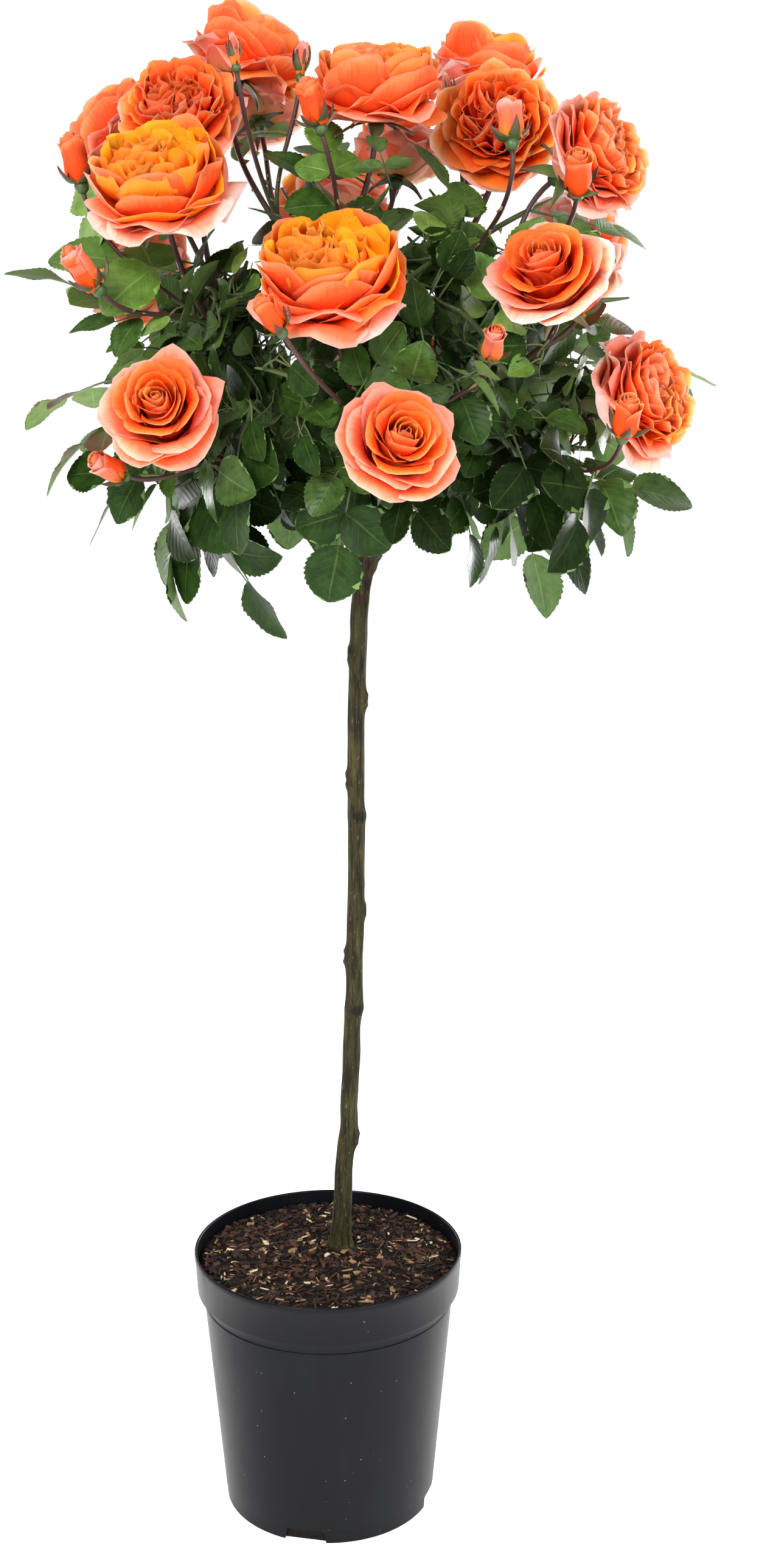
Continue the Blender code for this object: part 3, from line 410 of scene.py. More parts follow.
@dataclass(frozen=True)
class LeafFinish:
    """One side of a leaflet: its blade, its midrib and the veins that run from it."""

    name: str
    deep: tuple
    light: tuple
    vein: tuple
    roughness: float
    vein_show: float = 0.45
    shine: float = 0.24
    flush: tuple = None
    flush_from: float = 0.5

    def material(self, cell: int) -> bpy.types.Material:
        """Builds the material on its cell of the shared map."""
        shader = Shader(self.name)
        across, along = shader.on_cell(cell)
        aside = (across * 2.0 - 1.0).absolute()
        spot = shader.joined(across, along, cell * 5.3)
        blots = shader.noise(spot, 3.4, 4.0, 0.55)
        fine = shader.noise(spot, 30.0, 3.0, 0.6)
        wander = (blots - 0.5) * 0.05
        rows = ((along - aside * 0.34 + wander) * 7.0).fraction()
        ridge = ((rows - 0.5).absolute() * 2.0).smooth(0.80, 1.0)
        midrib = 1 - aside.smooth(0.012, 0.060)
        rib = midrib.larger(ridge * 0.40 * (1 - aside.smooth(0.45, 0.90)))
        base = shader.mix((blots * 0.75 + fine * 0.25).smooth(0.30, 0.70), self.deep, self.light)
        if self.flush:
            tint = (blots * 0.5 + along * 0.30 + aside * 0.25).smooth(self.flush_from, self.flush_from + 0.22)
            base = shader.mix(tint, base, self.flush)
        base = shader.mix(rib * self.vein_show, base, self.vein)
        quilt = 1 - (rows - 0.5).absolute() * 2.0
        relief = quilt * 0.18 + fine * 0.15 + (1 - midrib) * 0.45
        roughness = self.roughness + (blots - 0.5) * 0.22
        return shader.finish(Base_Color=base, Roughness=roughness, Specular_IOR_Level=self.shine,
                             Normal=shader.bump(relief, 0.00045))


@dataclass(frozen=True)
class PetalFinish:
    """One side of a petal: its colour from the claw to the rim, with fine veins along it."""

    name: str
    claw: tuple
    middle: tuple
    edge: tuple
    rim: tuple

    def material(self, cell: int) -> bpy.types.Material:
        """Builds the material on its cell of the shared map."""
        shader = Shader(self.name)
        across, along = shader.on_cell(cell)
        aside = (across * 2.0 - 1.0).absolute()
        veins = shader.noise(shader.joined(across * 30.0, along * 2.2, cell * 3.1), 1.3, 4.0, 0.6)
        clouds = shader.noise(shader.joined(across * 2.4, along * 2.0, cell * 7.7), 1.2, 3.0)
        outer = along.larger(aside ** 4.0 * along)
        share = outer + (veins - 0.5) * 0.16 + (clouds - 0.5) * 0.34
        stops = ((0.0, self.claw), (0.42, self.middle), (0.80, self.edge), (0.97, self.rim))
        base = shader.ramp(share, stops)
        base = shader.mix(veins.smooth(0.50, 0.80) * 0.16, base, self.claw)
        relief = veins * 0.6 + clouds * 0.4
        return shader.finish(
            Base_Color=base,
            Roughness=0.55,
            Subsurface_Weight=0.45,
            Subsurface_Radius=(1.0, 0.42, 0.20),
            Subsurface_Scale=0.006,
            Specular_IOR_Level=0.10,
            Normal=shader.bump(relief, 0.0006),
        )


@dataclass(frozen=True)
class FloorFinish:
    """Pale matt floor that is lit from below."""

    name: str = "pale_floor"
    glow: float = 0.66

    def material(self) -> bpy.types.Material:
        """Builds the material."""
        shader = Shader(self.name)
        clouds = shader.noise(shader.place(), 1.5, 2.0)
        base = shader.mix(clouds, tone(248, 248, 248), tone(252, 252, 252))
        return shader.finish(Base_Color=base, Roughness=0.7, Emission_Color=base, Emission_Strength=self.glow)


def leaf(name: str, deep: tuple, light: tuple, vein: tuple, *looks: object) -> LeafFinish:
    """A leaf's finish from its three screen colours and its other looks in order."""
    return LeafFinish("leaf_" + name, tone(*deep), tone(*light), tone(*vein), *looks)


# copies of one leaf in tones from deep to light, dealt out by place in leaf_weights: the deep and dark tones
# are painted shade within and under the crown, the bright and light tones painted light on its top and sides;
# the bronze flush is the leaves' own colour
LEAF_TOPS = (
    leaf("deep", (12, 24, 6), (25, 41, 12), (66, 88, 40), 0.40, 0.30, 0.05),
    leaf("dark", (20, 37, 11), (37, 59, 20), (86, 110, 52), 0.38, 0.30, 0.09),
    leaf("mid", (34, 56, 18), (58, 84, 33), (108, 134, 70), 0.30, 0.32, 0.20),
    leaf("bright", (58, 86, 28), (86, 118, 46), (136, 160, 88), 0.31, 0.34, 0.30),
    leaf("light", (90, 120, 50), (124, 152, 74), (166, 188, 116), 0.36, 0.36, 0.30),
    leaf("bronze", (50, 68, 22), (82, 100, 38), (126, 142, 78), 0.30, 0.30, 0.26, tone(88, 54, 28), 0.34),
)
LEAF_UNDERS = (
    leaf("under", (72, 98, 48), (98, 126, 68), (138, 162, 98), 0.60, 0.45),
    leaf("under_bright", (88, 118, 52), (120, 150, 74), (158, 182, 110), 0.58, 0.42),
)
# the first of the tops whose underside is the bright one, so that the undersides follow the tops' painted
# light
BRIGHT_FROM = 3
RACHIS = ShootFinish("leaf_stalk", tone(62, 84, 38), tone(72, 92, 44), tone(84, 88, 46))
LEAF_FINISHES = (*LEAF_TOPS, *LEAF_UNDERS, RACHIS)
RACHIS_CELL = len(LEAF_TOPS) + len(LEAF_UNDERS)

SHOOT_FINISHES = (
    ShootFinish("flower_stem", tone(70, 92, 40), tone(66, 46, 32), tone(56, 24, 24)),
    ShootFinish("green_shoot", tone(50, 72, 30), tone(60, 84, 36), tone(72, 88, 42)),
    ShootFinish("thorn", tone(120, 104, 66), tone(124, 78, 56), tone(96, 54, 44)),
)
FLOWER_STEM_CELL, GREEN_SHOOT_CELL, THORN_CELL = range(len(SHOOT_FINISHES))

CHIP_FINISHES = (
    ChipFinish("chip_black", tone(10, 7, 6), tone(28, 20, 16)),
    ChipFinish("chip_brown", tone(26, 18, 14), tone(58, 40, 31)),
    ChipFinish("chip_russet", tone(46, 28, 20), tone(94, 60, 42)),
    ChipFinish("chip_umber", tone(38, 28, 23), tone(80, 62, 50)),
    ChipFinish("chip_tan", tone(104, 78, 54), tone(164, 130, 94)),
    ChipFinish("chip_pale", tone(156, 132, 100), tone(216, 198, 168)),
)
CHIP_SHARES = (0.32, 0.60, 0.76, 0.90, 0.975, 1.0)


class PetalHue(Enum):
    """The hues that petals are dyed in: screen colours of the face and the back, from the claw to the rim."""

    GOLDEN = (((246, 84, 0), (248, 122, 3), (248, 134, 8), (250, 152, 26)),
              ((246, 94, 0), (248, 112, 8), (248, 112, 16), (250, 134, 42)))
    AMBER = (((248, 70, 0), (248, 92, 5), (248, 100, 14), (250, 122, 40)),
             ((248, 86, 3), (246, 92, 13), (244, 92, 26), (246, 120, 58)))
    ORANGE = (((244, 56, 0), (244, 76, 6), (244, 84, 16), (246, 108, 40)),
              ((244, 78, 4), (242, 82, 15), (240, 82, 27), (242, 112, 57)))
    CORAL = (((230, 40, 0), (240, 61, 8), (240, 73, 22), (242, 104, 50)),
             ((236, 66, 6), (236, 69, 19), (234, 74, 31), (238, 112, 64)))
    VERMILION = (((210, 24, 0), (234, 44, 3), (240, 61, 12), (245, 94, 37)),
                 ((224, 44, 1), (232, 54, 11), (234, 65, 23), (240, 101, 52)))
    ROSE = (((250, 106, 12), (244, 91, 41), (238, 95, 67), (240, 142, 121)),
            ((248, 118, 34), (241, 101, 62), (236, 103, 80), (239, 148, 131)))
    BLUSH = (((250, 134, 50), (243, 123, 84), (239, 129, 108), (246, 196, 180)),
             ((246, 152, 85), (240, 138, 108), (236, 144, 127), (245, 204, 192)))

    def cells(self) -> tuple:
        """The cells of its face and its back."""
        first = 2 * list(PetalHue).index(self)
        return first, first + 1


PETAL_FINISHES = (
    *(PetalFinish("petal_" + hue.name.lower() + side, *(tone(*level) for level in levels))
      for hue in PetalHue for side, levels in zip(("", "_back"), hue.value)),
    ShootFinish("sepal_face", tone(88, 112, 62), tone(94, 116, 66), tone(92, 88, 58)),
    ShootFinish("sepal_back", tone(56, 80, 36), tone(62, 74, 38), tone(80, 44, 34)),
)
SEPAL_CELLS = (len(PETAL_FINISHES) - 2, len(PETAL_FINISHES) - 1)


class Tint(Enum):
    """How a bloom is coloured, from its heart out to its guard petals."""

    GOLD = (PetalHue.GOLDEN, PetalHue.GOLDEN, PetalHue.CORAL, PetalHue.ROSE, PetalHue.BLUSH)
    PEACH = (PetalHue.AMBER, PetalHue.AMBER, PetalHue.CORAL, PetalHue.CORAL, PetalHue.ROSE)
    CORAL = (PetalHue.VERMILION, PetalHue.CORAL, PetalHue.ORANGE, PetalHue.CORAL, PetalHue.ROSE)
    SALMON = (PetalHue.ORANGE, PetalHue.CORAL, PetalHue.VERMILION, PetalHue.ROSE, PetalHue.BLUSH)
    PINK = (PetalHue.AMBER, PetalHue.ORANGE, PetalHue.CORAL, PetalHue.ROSE, PetalHue.ROSE)


class PetalPart(Enum):
    """Where in a bloom a petal stands."""

    HEART = 0
    INNER = 1
    WALL = 2
    OUTER = 3
    GUARD = 4


class Kind(Enum):
    """What a shoot ends in."""

    CUP = "cup"
    ROSETTE = "rosette"
    SPIRAL = "spiral"
    BUD = "bud"
    LEAFY = "leafy"


# ---------------------------------------------------------------- stamps and joined pieces
def to_arrays(bm: bmesh.types.BMesh) -> tuple:
    """Reads a bmesh into arrays.

    Args:
        bm: A bmesh with one UV layer.

    Returns:
        Vertex places, corners as vertex numbers, corners per face, corner spots and face sides.
    """
    layer = bm.loops.layers.uv.verify()
    bm.verts.index_update()
    places = np.array([vert.co[:] for vert in bm.verts])
    corners = np.array([loop.vert.index for face in bm.faces for loop in face.loops])
    sizes = np.array([len(face.verts) for face in bm.faces])
    spots = np.array([loop[layer].uv[:] for face in bm.faces for loop in face.loops])
    sides = np.array([face.material_index for face in bm.faces])
    return places, corners, sizes, spots, sides


@dataclass(frozen=True)
class Stamp:
    """A small mesh that is copied many times; each face belongs to a side, which takes its own finish."""

    places: np.ndarray
    corners: np.ndarray
    sizes: np.ndarray
    spots: np.ndarray
    sides: np.ndarray

    @classmethod
    def of(cls, bm: bmesh.types.BMesh) -> "Stamp":
        """Makes a stamp of a bmesh and frees it."""
        made = cls(*to_arrays(bm))
        bm.free()
        return made


def on_cells(finishes: tuple) -> tuple:
    """The material of each finish, on its own cell of the shared map."""
    return tuple(finish.material(cell) for cell, finish in enumerate(finishes))


class Batch:
    """Copies of stamps that are joined into one piece."""

    def __init__(self, name: str, materials: tuple, flat: bool = False) -> None:
        """Starts an empty piece.

        Args:
            name: The piece's name.
            materials: Its materials, one for each cell in order.
            flat: True for facets instead of a smooth skin.
        """
        self.name = name
        self.materials = materials
        self.flat = flat
        self.count = 0
        self.parts = ([], [], [], [], [])

    def add(self, stamp: Stamp, places: np.ndarray, cells: tuple) -> None:
        """Adds one copy, moved inside the solids' box where it would leave it.

        Args:
            stamp: What is copied.
            places: Where its vertices go.
            cells: The cell for each of its sides.
        """
        low, high = BOX_CORNERS
        places = places + np.maximum(low - places.min(axis=0), 0) - np.maximum(places.max(axis=0) - high, 0)
        cell = np.asarray(cells)[stamp.sides]
        owner = np.repeat(cell, stamp.sizes)
        inside = CELL_MARGIN + np.clip(stamp.spots, 0.0, 1.0) * (1 - 2 * CELL_MARGIN)
        corner = np.stack((owner % ATLAS_SIDE, owner // ATLAS_SIDE), axis=1)
        rows = (places, stamp.corners + self.count, stamp.sizes, (inside + corner) / ATLAS_SIDE, cell)
        for kept, row in zip(self.parts, rows):
            kept.append(row)
        self.count += len(places)

    def tube(self, sides: int, course: list, radii: list, cell: int) -> None:
        """Adds one closed tube along a course.

        Args:
            sides: Corners of each ring.
            course: The centre of each ring.
            radii: The radius of each ring.
            cell: Its cell.
        """
        stamp = tube_stamp(sides, len(course))
        self.add(stamp, along_frames(stamp, ring_frames(course, radii)), (cell,))

    def piece(self, slot: str, *nodes: str) -> None:
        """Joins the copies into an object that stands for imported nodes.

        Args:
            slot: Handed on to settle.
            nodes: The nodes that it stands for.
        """
        places, corners, sizes, spots, cells = (np.concatenate(rows) for rows in self.parts)
        starts = np.concatenate(([0], np.cumsum(sizes)[:-1]))
        mesh = bpy.data.meshes.new(self.name)
        mesh.vertices.add(len(places))
        mesh.vertices.foreach_set("co", np.clip(places, *BOX_CORNERS).astype(np.float32).ravel())
        mesh.loops.add(len(corners))
        mesh.loops.foreach_set("vertex_index", corners.astype(np.int32))
        mesh.polygons.add(len(starts))
        mesh.polygons.foreach_set("loop_start", starts.astype(np.int32))
        mesh.polygons.foreach_set("material_index", cells.astype(np.int32))
        mesh.polygons.foreach_set("use_smooth", np.full(len(starts), not self.flat))
        layer = mesh.uv_layers.new(name=ATLAS_MAP)
        layer.data.foreach_set("uv", spots.astype(np.float32).ravel())
        mesh.update(calc_edges=True)
        if not self.flat:
            mesh.set_sharp_from_angle(angle=RIM_ANGLE)
        for material in self.materials:
            mesh.materials.append(material)
        settle(linked(self.name, mesh), slot, *nodes)


def settle(piece: bpy.types.Object, slot: str, *nodes: str) -> None:
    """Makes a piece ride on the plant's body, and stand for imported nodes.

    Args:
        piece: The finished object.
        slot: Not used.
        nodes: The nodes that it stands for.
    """
    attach(piece, BODY)
    if nodes:
        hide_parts(*nodes)
    piece.data.calc_loop_triangles()
    LOG.info("%s: %d triangles", piece.name, len(piece.data.loop_triangles))


def from_bmesh(name: str, bm: bmesh.types.BMesh, material: bpy.types.Material,
               sharp: float = None) -> bpy.types.Object:
    """Turns a bmesh into a smooth object, with creases where its faces meet at a sharp angle.

    Args:
        name: The object's name.
        bm: The shape; it is freed.
        material: Its finish.
        sharp: The angle in degrees past which an edge is a crease, or None for no creases.

    Returns:
        The new object.
    """
    bmesh.ops.recalc_face_normals(bm, faces=bm.faces)
    for face in bm.faces:
        face.smooth = True
    if sharp is not None:
        for edge in bm.edges:
            edge.smooth = edge.calc_face_angle(0.0) < math.radians(sharp)
    mesh = bpy.data.meshes.new(name)
    bm.to_mesh(mesh)
    bm.free()
    mesh.materials.append(material)
    return linked(name, mesh)


# ---------------------------------------------------------------- courses and tubes
def ring_frames(course: list, radii: list, first_way: Vector = None, last_way: Vector = None,
                ridge: Vector = None) -> list:
    """A turned and scaled frame for the ring at each point of a course, twisting as little as it can.

    Args:
        course: The points of the course.
        radii: The ring's radius at each point.
        first_way: The heading at the first point, where it is given.
        last_way: The heading at the last point, where it is given.
        ridge: Where each ring's Y axis starts out.

    Returns:
        One 4x4 matrix for each point.
    """
    neighbours = zip(course[:1] + course, course[1:] + course[-1:])
    ways = [(after - before).normalized() for before, after in neighbours]
    if first_way is not None:
        ways[0] = first_way.normalized()
    if last_way is not None:
        ways[-1] = last_way.normalized()
    side = ridge or ways[0].orthogonal()
    frames = []
    for place, way, radius in zip(course, ways, radii):
        side = (side - way * side.dot(way)).normalized()
        turn = Matrix((side.cross(way), side, way)).transposed().to_4x4()
        frames.append(Matrix.Translation(place) @ turn @ Matrix.Diagonal((radius, radius, radius, 1.0)))
    return frames


def stack_rings(bm: bmesh.types.BMesh, frames: list, sides: int) -> list:
    """Adds a closed limb to a bmesh: a ring at each frame, with a skin from each ring to the next.

    Args:
        bm: The bmesh that it is added to.
        frames: The matrix of each ring, which is a unit circle about Z.
        sides: Corners of each ring.

    Returns:
        The corners of each ring.
    """
    ring = bmesh.ops.create_circle(bm, cap_ends=True, segments=sides, radius=1.0, matrix=frames[0])
    cap = ring["verts"][0].link_faces[0]
    first = list(cap.edges)
    rows = [list(cap.verts)]
    for last, ahead in zip(frames, frames[1:]):
        cap = bmesh.ops.extrude_discrete_faces(bm, faces=[cap])["faces"][0]
        bmesh.ops.transform(bm, matrix=ahead @ last.inverted(), verts=cap.verts)
        rows.append(list(cap.verts))
    open_edges = [edge for edge in first if edge.is_valid and edge.is_boundary]
    bmesh.ops.holes_fill(bm, edges=open_edges, sides=0)
    return rows


@lru_cache(maxsize=None)
def tube_stamp(sides: int, rings: int) -> Stamp:
    """A closed upright tube of unit radius whose rings stand at heights 0, 1, 2 and so on.

    Args:
        sides: Corners of each ring.
        rings: How many rings it has.

    Returns:
        The stamp, whose cell runs round it and along it.
    """
    bm = bmesh.new()
    stack_rings(bm, [Matrix.Translation(UP * level) for level in range(rings)], sides)
    bmesh.ops.recalc_face_normals(bm, faces=bm.faces)
    layer = bm.loops.layers.uv.verify()
    for face in bm.faces:
        middle = face.calc_center_median()
        centre = math.atan2(middle.y, middle.x) / math.tau
        for loop in face.loops:
            turn = math.atan2(loop.vert.co.y, loop.vert.co.x) / math.tau
            turn -= round(turn - centre)
            loop[layer].uv = (turn + 0.5, loop.vert.co.z / (rings - 1))
    return Stamp.of(bm)


def along_frames(stamp: Stamp, frames: list) -> np.ndarray:
    """Places a tube stamp's vertices on a course.

    Args:
        stamp: A tube stamp.
        frames: The frame of each of its rings.

    Returns:
        The vertices' places.
    """
    rows = np.array([[tuple(row) for row in one] for one in frames])
    ring = np.rint(stamp.places[:, 2]).astype(int)
    picked = rows[ring]
    across = picked[:, :3, 0] * stamp.places[:, :1] + picked[:, :3, 1] * stamp.places[:, 1:2]
    return across + picked[:, :3, 3]


def bend(start: Vector, start_way: Vector, end: Vector, end_way: Vector, pull: float, steps: int) -> list:
    """Points of a smooth bend between two places with given headings.

    Args:
        start: Where it starts.
        start_way: Its heading there.
        end: Where it ends.
        end_way: Its heading there.
        pull: How strongly it holds its headings, as a share of its reach.
        steps: How many steps it takes.

    Returns:
        The points.
    """
    reach = (end - start).length * pull
    handles = (start, start + start_way.normalized() * reach, end - end_way.normalized() * reach, end)
    course = []
    for step in range(steps + 1):
        t = step / steps
        weights = ((1 - t) ** 3, 3 * t * (1 - t) ** 2, 3 * t * t * (1 - t), t ** 3)
        course.append(sum((handle * weight for handle, weight in zip(handles, weights)), Vector()))
    return course


def along_course(course: list, share: float) -> tuple:
    """The place and heading at a share of a course's length.

    Args:
        course: The points of the course.
        share: From 0 at its start to 1 at its end.

    Returns:
        The place and the heading.
    """
    lengths = [(after - before).length for before, after in zip(course, course[1:])]
    left = share * sum(lengths)
    for index, length in enumerate(lengths):
        if left <= length or index == len(lengths) - 1:
            way = (course[index + 1] - course[index]) / length
            return course[index] + way * left, way
        left -= length


def course_length(course: list) -> float:
    """Length of a course."""
    return sum((after - before).length for before, after in zip(course, course[1:]))


def spaced(course: list, step: float, least: int) -> list:
    """A course whose points are about a step apart, in a least number of steps."""
    count = max(least, round(course_length(course) / step))
    return [along_course(course, index / count)[0] for index in range(count + 1)]


def heading(azimuth: float, lift: float) -> Vector:
    """A unit direction from its azimuth in degrees (-90 is the front) and its lift above level."""
    turn, rise = math.radians(azimuth), math.radians(lift)
    return Vector((math.cos(rise) * math.cos(turn), math.cos(rise) * math.sin(turn), math.sin(rise)))


def point(x: float, y: float, z: float) -> Vector:
    """A place given in millimetres."""
    return Vector((x, y, z)) * MM


# ---------------------------------------------------------------- the plant's own table
@dataclass(frozen=True)
class Shoot:
    """One flowering or leafy shoot: what it ends in, where, how wide that is and where it looks."""

    kind: Kind
    end: Vector
    width: float
    facing: Vector
    tint: Tint = Tint.GOLD


@dataclass(frozen=True)
class Limb:
    """One bough: what carries it and where, the way it starts, where it ends, its end radii."""

    carrier: str
    along: float
    start_way: Vector
    end: Vector
    base_radius: float
    tip_radius: float


def bloom(kind: str, x: float, y: float, z: float, width: float, azimuth: float, lift: float,
          tint: Tint = Tint.SALMON) -> Shoot:
    """A shoot that ends in a bloom of the given kind and colouring."""
    return Shoot(Kind(kind), point(x, y, z), width * MM, heading(azimuth, lift), tint)


def bud(*row: object) -> Shoot:
    """A shoot that ends in a bud, from the same row of values as a bloom's."""
    return bloom("bud", *row)


def leafy(x: float, y: float, z: float, azimuth: float, lift: float) -> Shoot:
    """A shoot that ends in leaves alone."""
    return Shoot(Kind.LEAFY, point(x, y, z), 0.0, heading(azimuth, lift))


def bough(carrier: str, along: float, azimuth: float, lift: float, end: tuple, base: float,
          tip: float) -> Limb:
    """A bough from its carrier, with its starting heading and its end diameters in millimetres."""
    return Limb(carrier, along, heading(azimuth, lift), point(*end), base * MM / 2, tip * MM / 2)


TRUNK = "trunk"
# height, sideways place and diameter of the stem, from the compost up to the graft, in millimetres
TRUNK_COURSE_MM = (
    (185.3, 8.0, 17.5),
    (191.0, 8.6, 15.0),
    (205.0, 9.6, 13.4),
    (240.0, 11.0, 12.8),
    (285.0, 15.0, 12.2),
    (336.0, 17.0, 12.0),
    (378.0, 19.0, 11.8),
    (478.0, 21.0, 11.3),
    (578.0, 21.2, 11.2),
    (634.0, 23.0, 11.4),
    (662.0, 25.0, 11.8),
)
TRUNK_DEPTH = 0.012
# height, angle round the stem (0 is +X) and swelling of each pruned shoot's scar
KNOTS_MM = (
    (268.0, 10.0, 2.2),
    (366.0, -75.0, 2.4),
    (404.0, 185.0, 2.2),
    (437.0, 25.0, 2.0),
    (505.0, -70.0, 2.0),
    (530.0, 190.0, 2.0),
    (585.0, 15.0, 2.4),
    (616.0, 170.0, 2.0),
)
GRAFT_CENTRE = Vector((0.0310, TRUNK_DEPTH, 0.6970))
GRAFT_RADIUS = 0.0135
GRAFT_LEAN = 0.45
GRAFT_RINGS = ((-0.018, 0.50), (-0.011, 0.74), (-0.004, 0.97), (0.003, 1.0), (0.009, 0.78), (0.0125, 0.42))

BOUGHS = {
    "left_bough": bough(TRUNK, 0, -142, 20, (-22, -34, 732), 8.0, 5.6),
    "front_bough": bough(TRUNK, 0, -84, 22, (37, -56, 738), 7.6, 5.4),
    "right_bough": bough(TRUNK, 0, -18, 20, (96, -16, 733), 8.0, 5.6),
    "back_bough": bough(TRUNK, 0, 88, 24, (30, 74, 742), 7.8, 5.4),
    "upper_left_bough": bough(TRUNK, 0, 166, 64, (6, 2, 800), 8.4, 5.8),
    "upper_right_bough": bough(TRUNK, 0, 18, 60, (62, 18, 806), 8.4, 5.8),
    "high_left_bough": bough("upper_left_bough", 0.50, 180, 30, (-34, -8, 790), 6.0, 5.0),
    "high_right_bough": bough("upper_right_bough", 0.42, -50, 26, (86, -38, 780), 6.0, 5.0),
    "rear_left_bough": bough("back_bough", 0.45, 162, 44, (-26, 62, 768), 6.0, 5.0),
    "rear_right_bough": bough("back_bough", 0.55, 24, 44, (86, 68, 768), 6.0, 5.0),
    "high_back_bough": bough("upper_left_bough", 0.66, 74, 40, (24, 52, 812), 5.6, 4.8),
}

# the shoots of each mass of foliage, leader first; places in millimetres, headings in degrees
MASSES = {
    "left_low_foliage": ("left_bough", (
        bloom("spiral", -91, -130, 790, 80, -95, 28, Tint.PINK),
        bud(-126, -100, 752, 22, -140, 25, Tint.PINK),
        leafy(-118, -32, 784, 190, 4),
        leafy(-94, -56, 734, 205, -12),
        leafy(-66, -70, 716, 225, -36),
        leafy(-44, -98, 778, -116, 4),
    )),
    "left_high_foliage": ("high_left_bough", (
        bloom("cup", -94, -85, 927, 86, -105, 64, Tint.GOLD),
        bloom("rosette", -88, 2, 966, 84, -98, 42, Tint.CORAL),
        bloom("cup", -140, 92, 962, 66, 150, 50, Tint.PINK),
        bud(-147, -50, 932, 26, 200, 78, Tint.PEACH),
        bud(-140, -84, 868, 26, -150, 50, Tint.PINK),
        leafy(-120, -14, 842, 185, 12),
        leafy(-58, -52, 846, -140, 10),
        leafy(-66, -92, 858, -112, 4),
        leafy(-104, 44, 902, 150, 30),
    )),
    "top_left_foliage": ("upper_left_bough", (
        bloom("cup", 35, -30, 985, 82, -95, 84, Tint.PEACH),
        bloom("cup", -43, 60, 1010, 77, 24, 66, Tint.PEACH),
        bloom("cup", -49, 125, 978, 60, 110, 50, Tint.SALMON),
        bud(-2, -70, 964, 25, -150, 70, Tint.PEACH),
        bud(-52, -20, 998, 17, 150, 80),
        bud(-12, 20, 995, 18, 70, 78),
        leafy(-14, -66, 900, -106, 20),
        leafy(44, -54, 918, -70, 30),
        leafy(-36, 40, 916, 120, 40),
    )),
    "top_right_foliage": ("upper_right_bough", (
        bloom("rosette", 113, 8, 957, 84, -96, 22, Tint.CORAL),
        bloom("cup", 111, 92, 1002, 74, 30, 74, Tint.GOLD),
        bud(116, -66, 954, 24, 100, 66, Tint.GOLD),
        bud(82, 52, 979, 17, 140, 74),
        leafy(88, -40, 900, -86, 16),
        leafy(50, -70, 862, -96, 10),
        leafy(70, 60, 918, 90, 50),
        leafy(150, 34, 912, 12, 26),
    )),
    "right_high_foliage": ("high_right_bough", (
        bloom("spiral", 135, -130, 868, 78, -112, 46, Tint.SALMON),
        bloom("rosette", 171, -60, 936, 84, -34, 24, Tint.SALMON),
        bud(153, -116, 923, 25, -92, 50, Tint.PEACH),
        bud(164, -90, 848, 16, -30, 50),
        leafy(196, -8, 850, -2, 8),
        leafy(138, -46, 872, -60, 10),
        leafy(84, -110, 846, -96, 6),
    )),
    "right_low_foliage": ("right_bough", (
        bloom("rosette", 202, -70, 792, 86, -36, 18, Tint.SALMON),
        bud(183, -132, 784, 24, -80, 58, Tint.PEACH),
        leafy(138, -54, 738, -22, -26),
        leafy(84, -62, 744, -62, -24),
        leafy(184, 6, 752, 10, -8),
        leafy(118, -104, 772, -46, 0),
    )),
    "front_foliage": ("front_bough", (
        bloom("spiral", 50, -170, 774, 78, -74, 26, Tint.PINK),
        bloom("cup", 10, -148, 874, 87, -96, 66, Tint.GOLD),
        bud(-22, -190, 845, 20, -150, 55, Tint.PEACH),
        bud(103, -162, 828, 20, -80, 50, Tint.PINK),
        leafy(20, -98, 740, -110, -30),
        leafy(-36, -112, 812, -130, 4),
        leafy(86, -128, 806, -60, 6),
    )),
    "rear_left_foliage": ("rear_left_bough", (
        bloom("rosette", -128, 106, 866, 80, 140, 24, Tint.CORAL),
        bloom("spiral", -104, 150, 772, 78, 120, 20, Tint.PINK),
        leafy(-138, 50, 796, 170, 0),
        leafy(-94, 84, 738, 152, -20),
    )),
    "rear_high_foliage": ("high_back_bough", (
        bloom("cup", 4, 148, 912, 84, 96, 48, Tint.GOLD),
        bloom("rosette", 50, 94, 946, 68, 80, 64, Tint.SALMON),
        leafy(30, 176, 850, 92, 10),
        leafy(-30, 110, 920, 120, 40),
    )),
    "rear_right_foliage": ("rear_right_bough", (
        bloom("rosette", 174, 112, 884, 82, 38, 30, Tint.SALMON),
        bloom("spiral", 158, 150, 778, 76, 48, 18, Tint.PINK),
        bud(112, 168, 846, 24, 80, 60, Tint.PEACH),
        leafy(186, 62, 806, 22, 4),
        leafy(124, 82, 738, 34, -20),
    )),
    "rear_low_foliage": ("back_bough", (
        bloom("cup", 50, 182, 806, 80, 86, 34, Tint.PEACH),
        bud(-4, 184, 780, 22, 110, 50, Tint.PINK),
        leafy(40, 120, 740, 80, -24),
        leafy(-18, 114, 744, 112, -20),
    )),
}


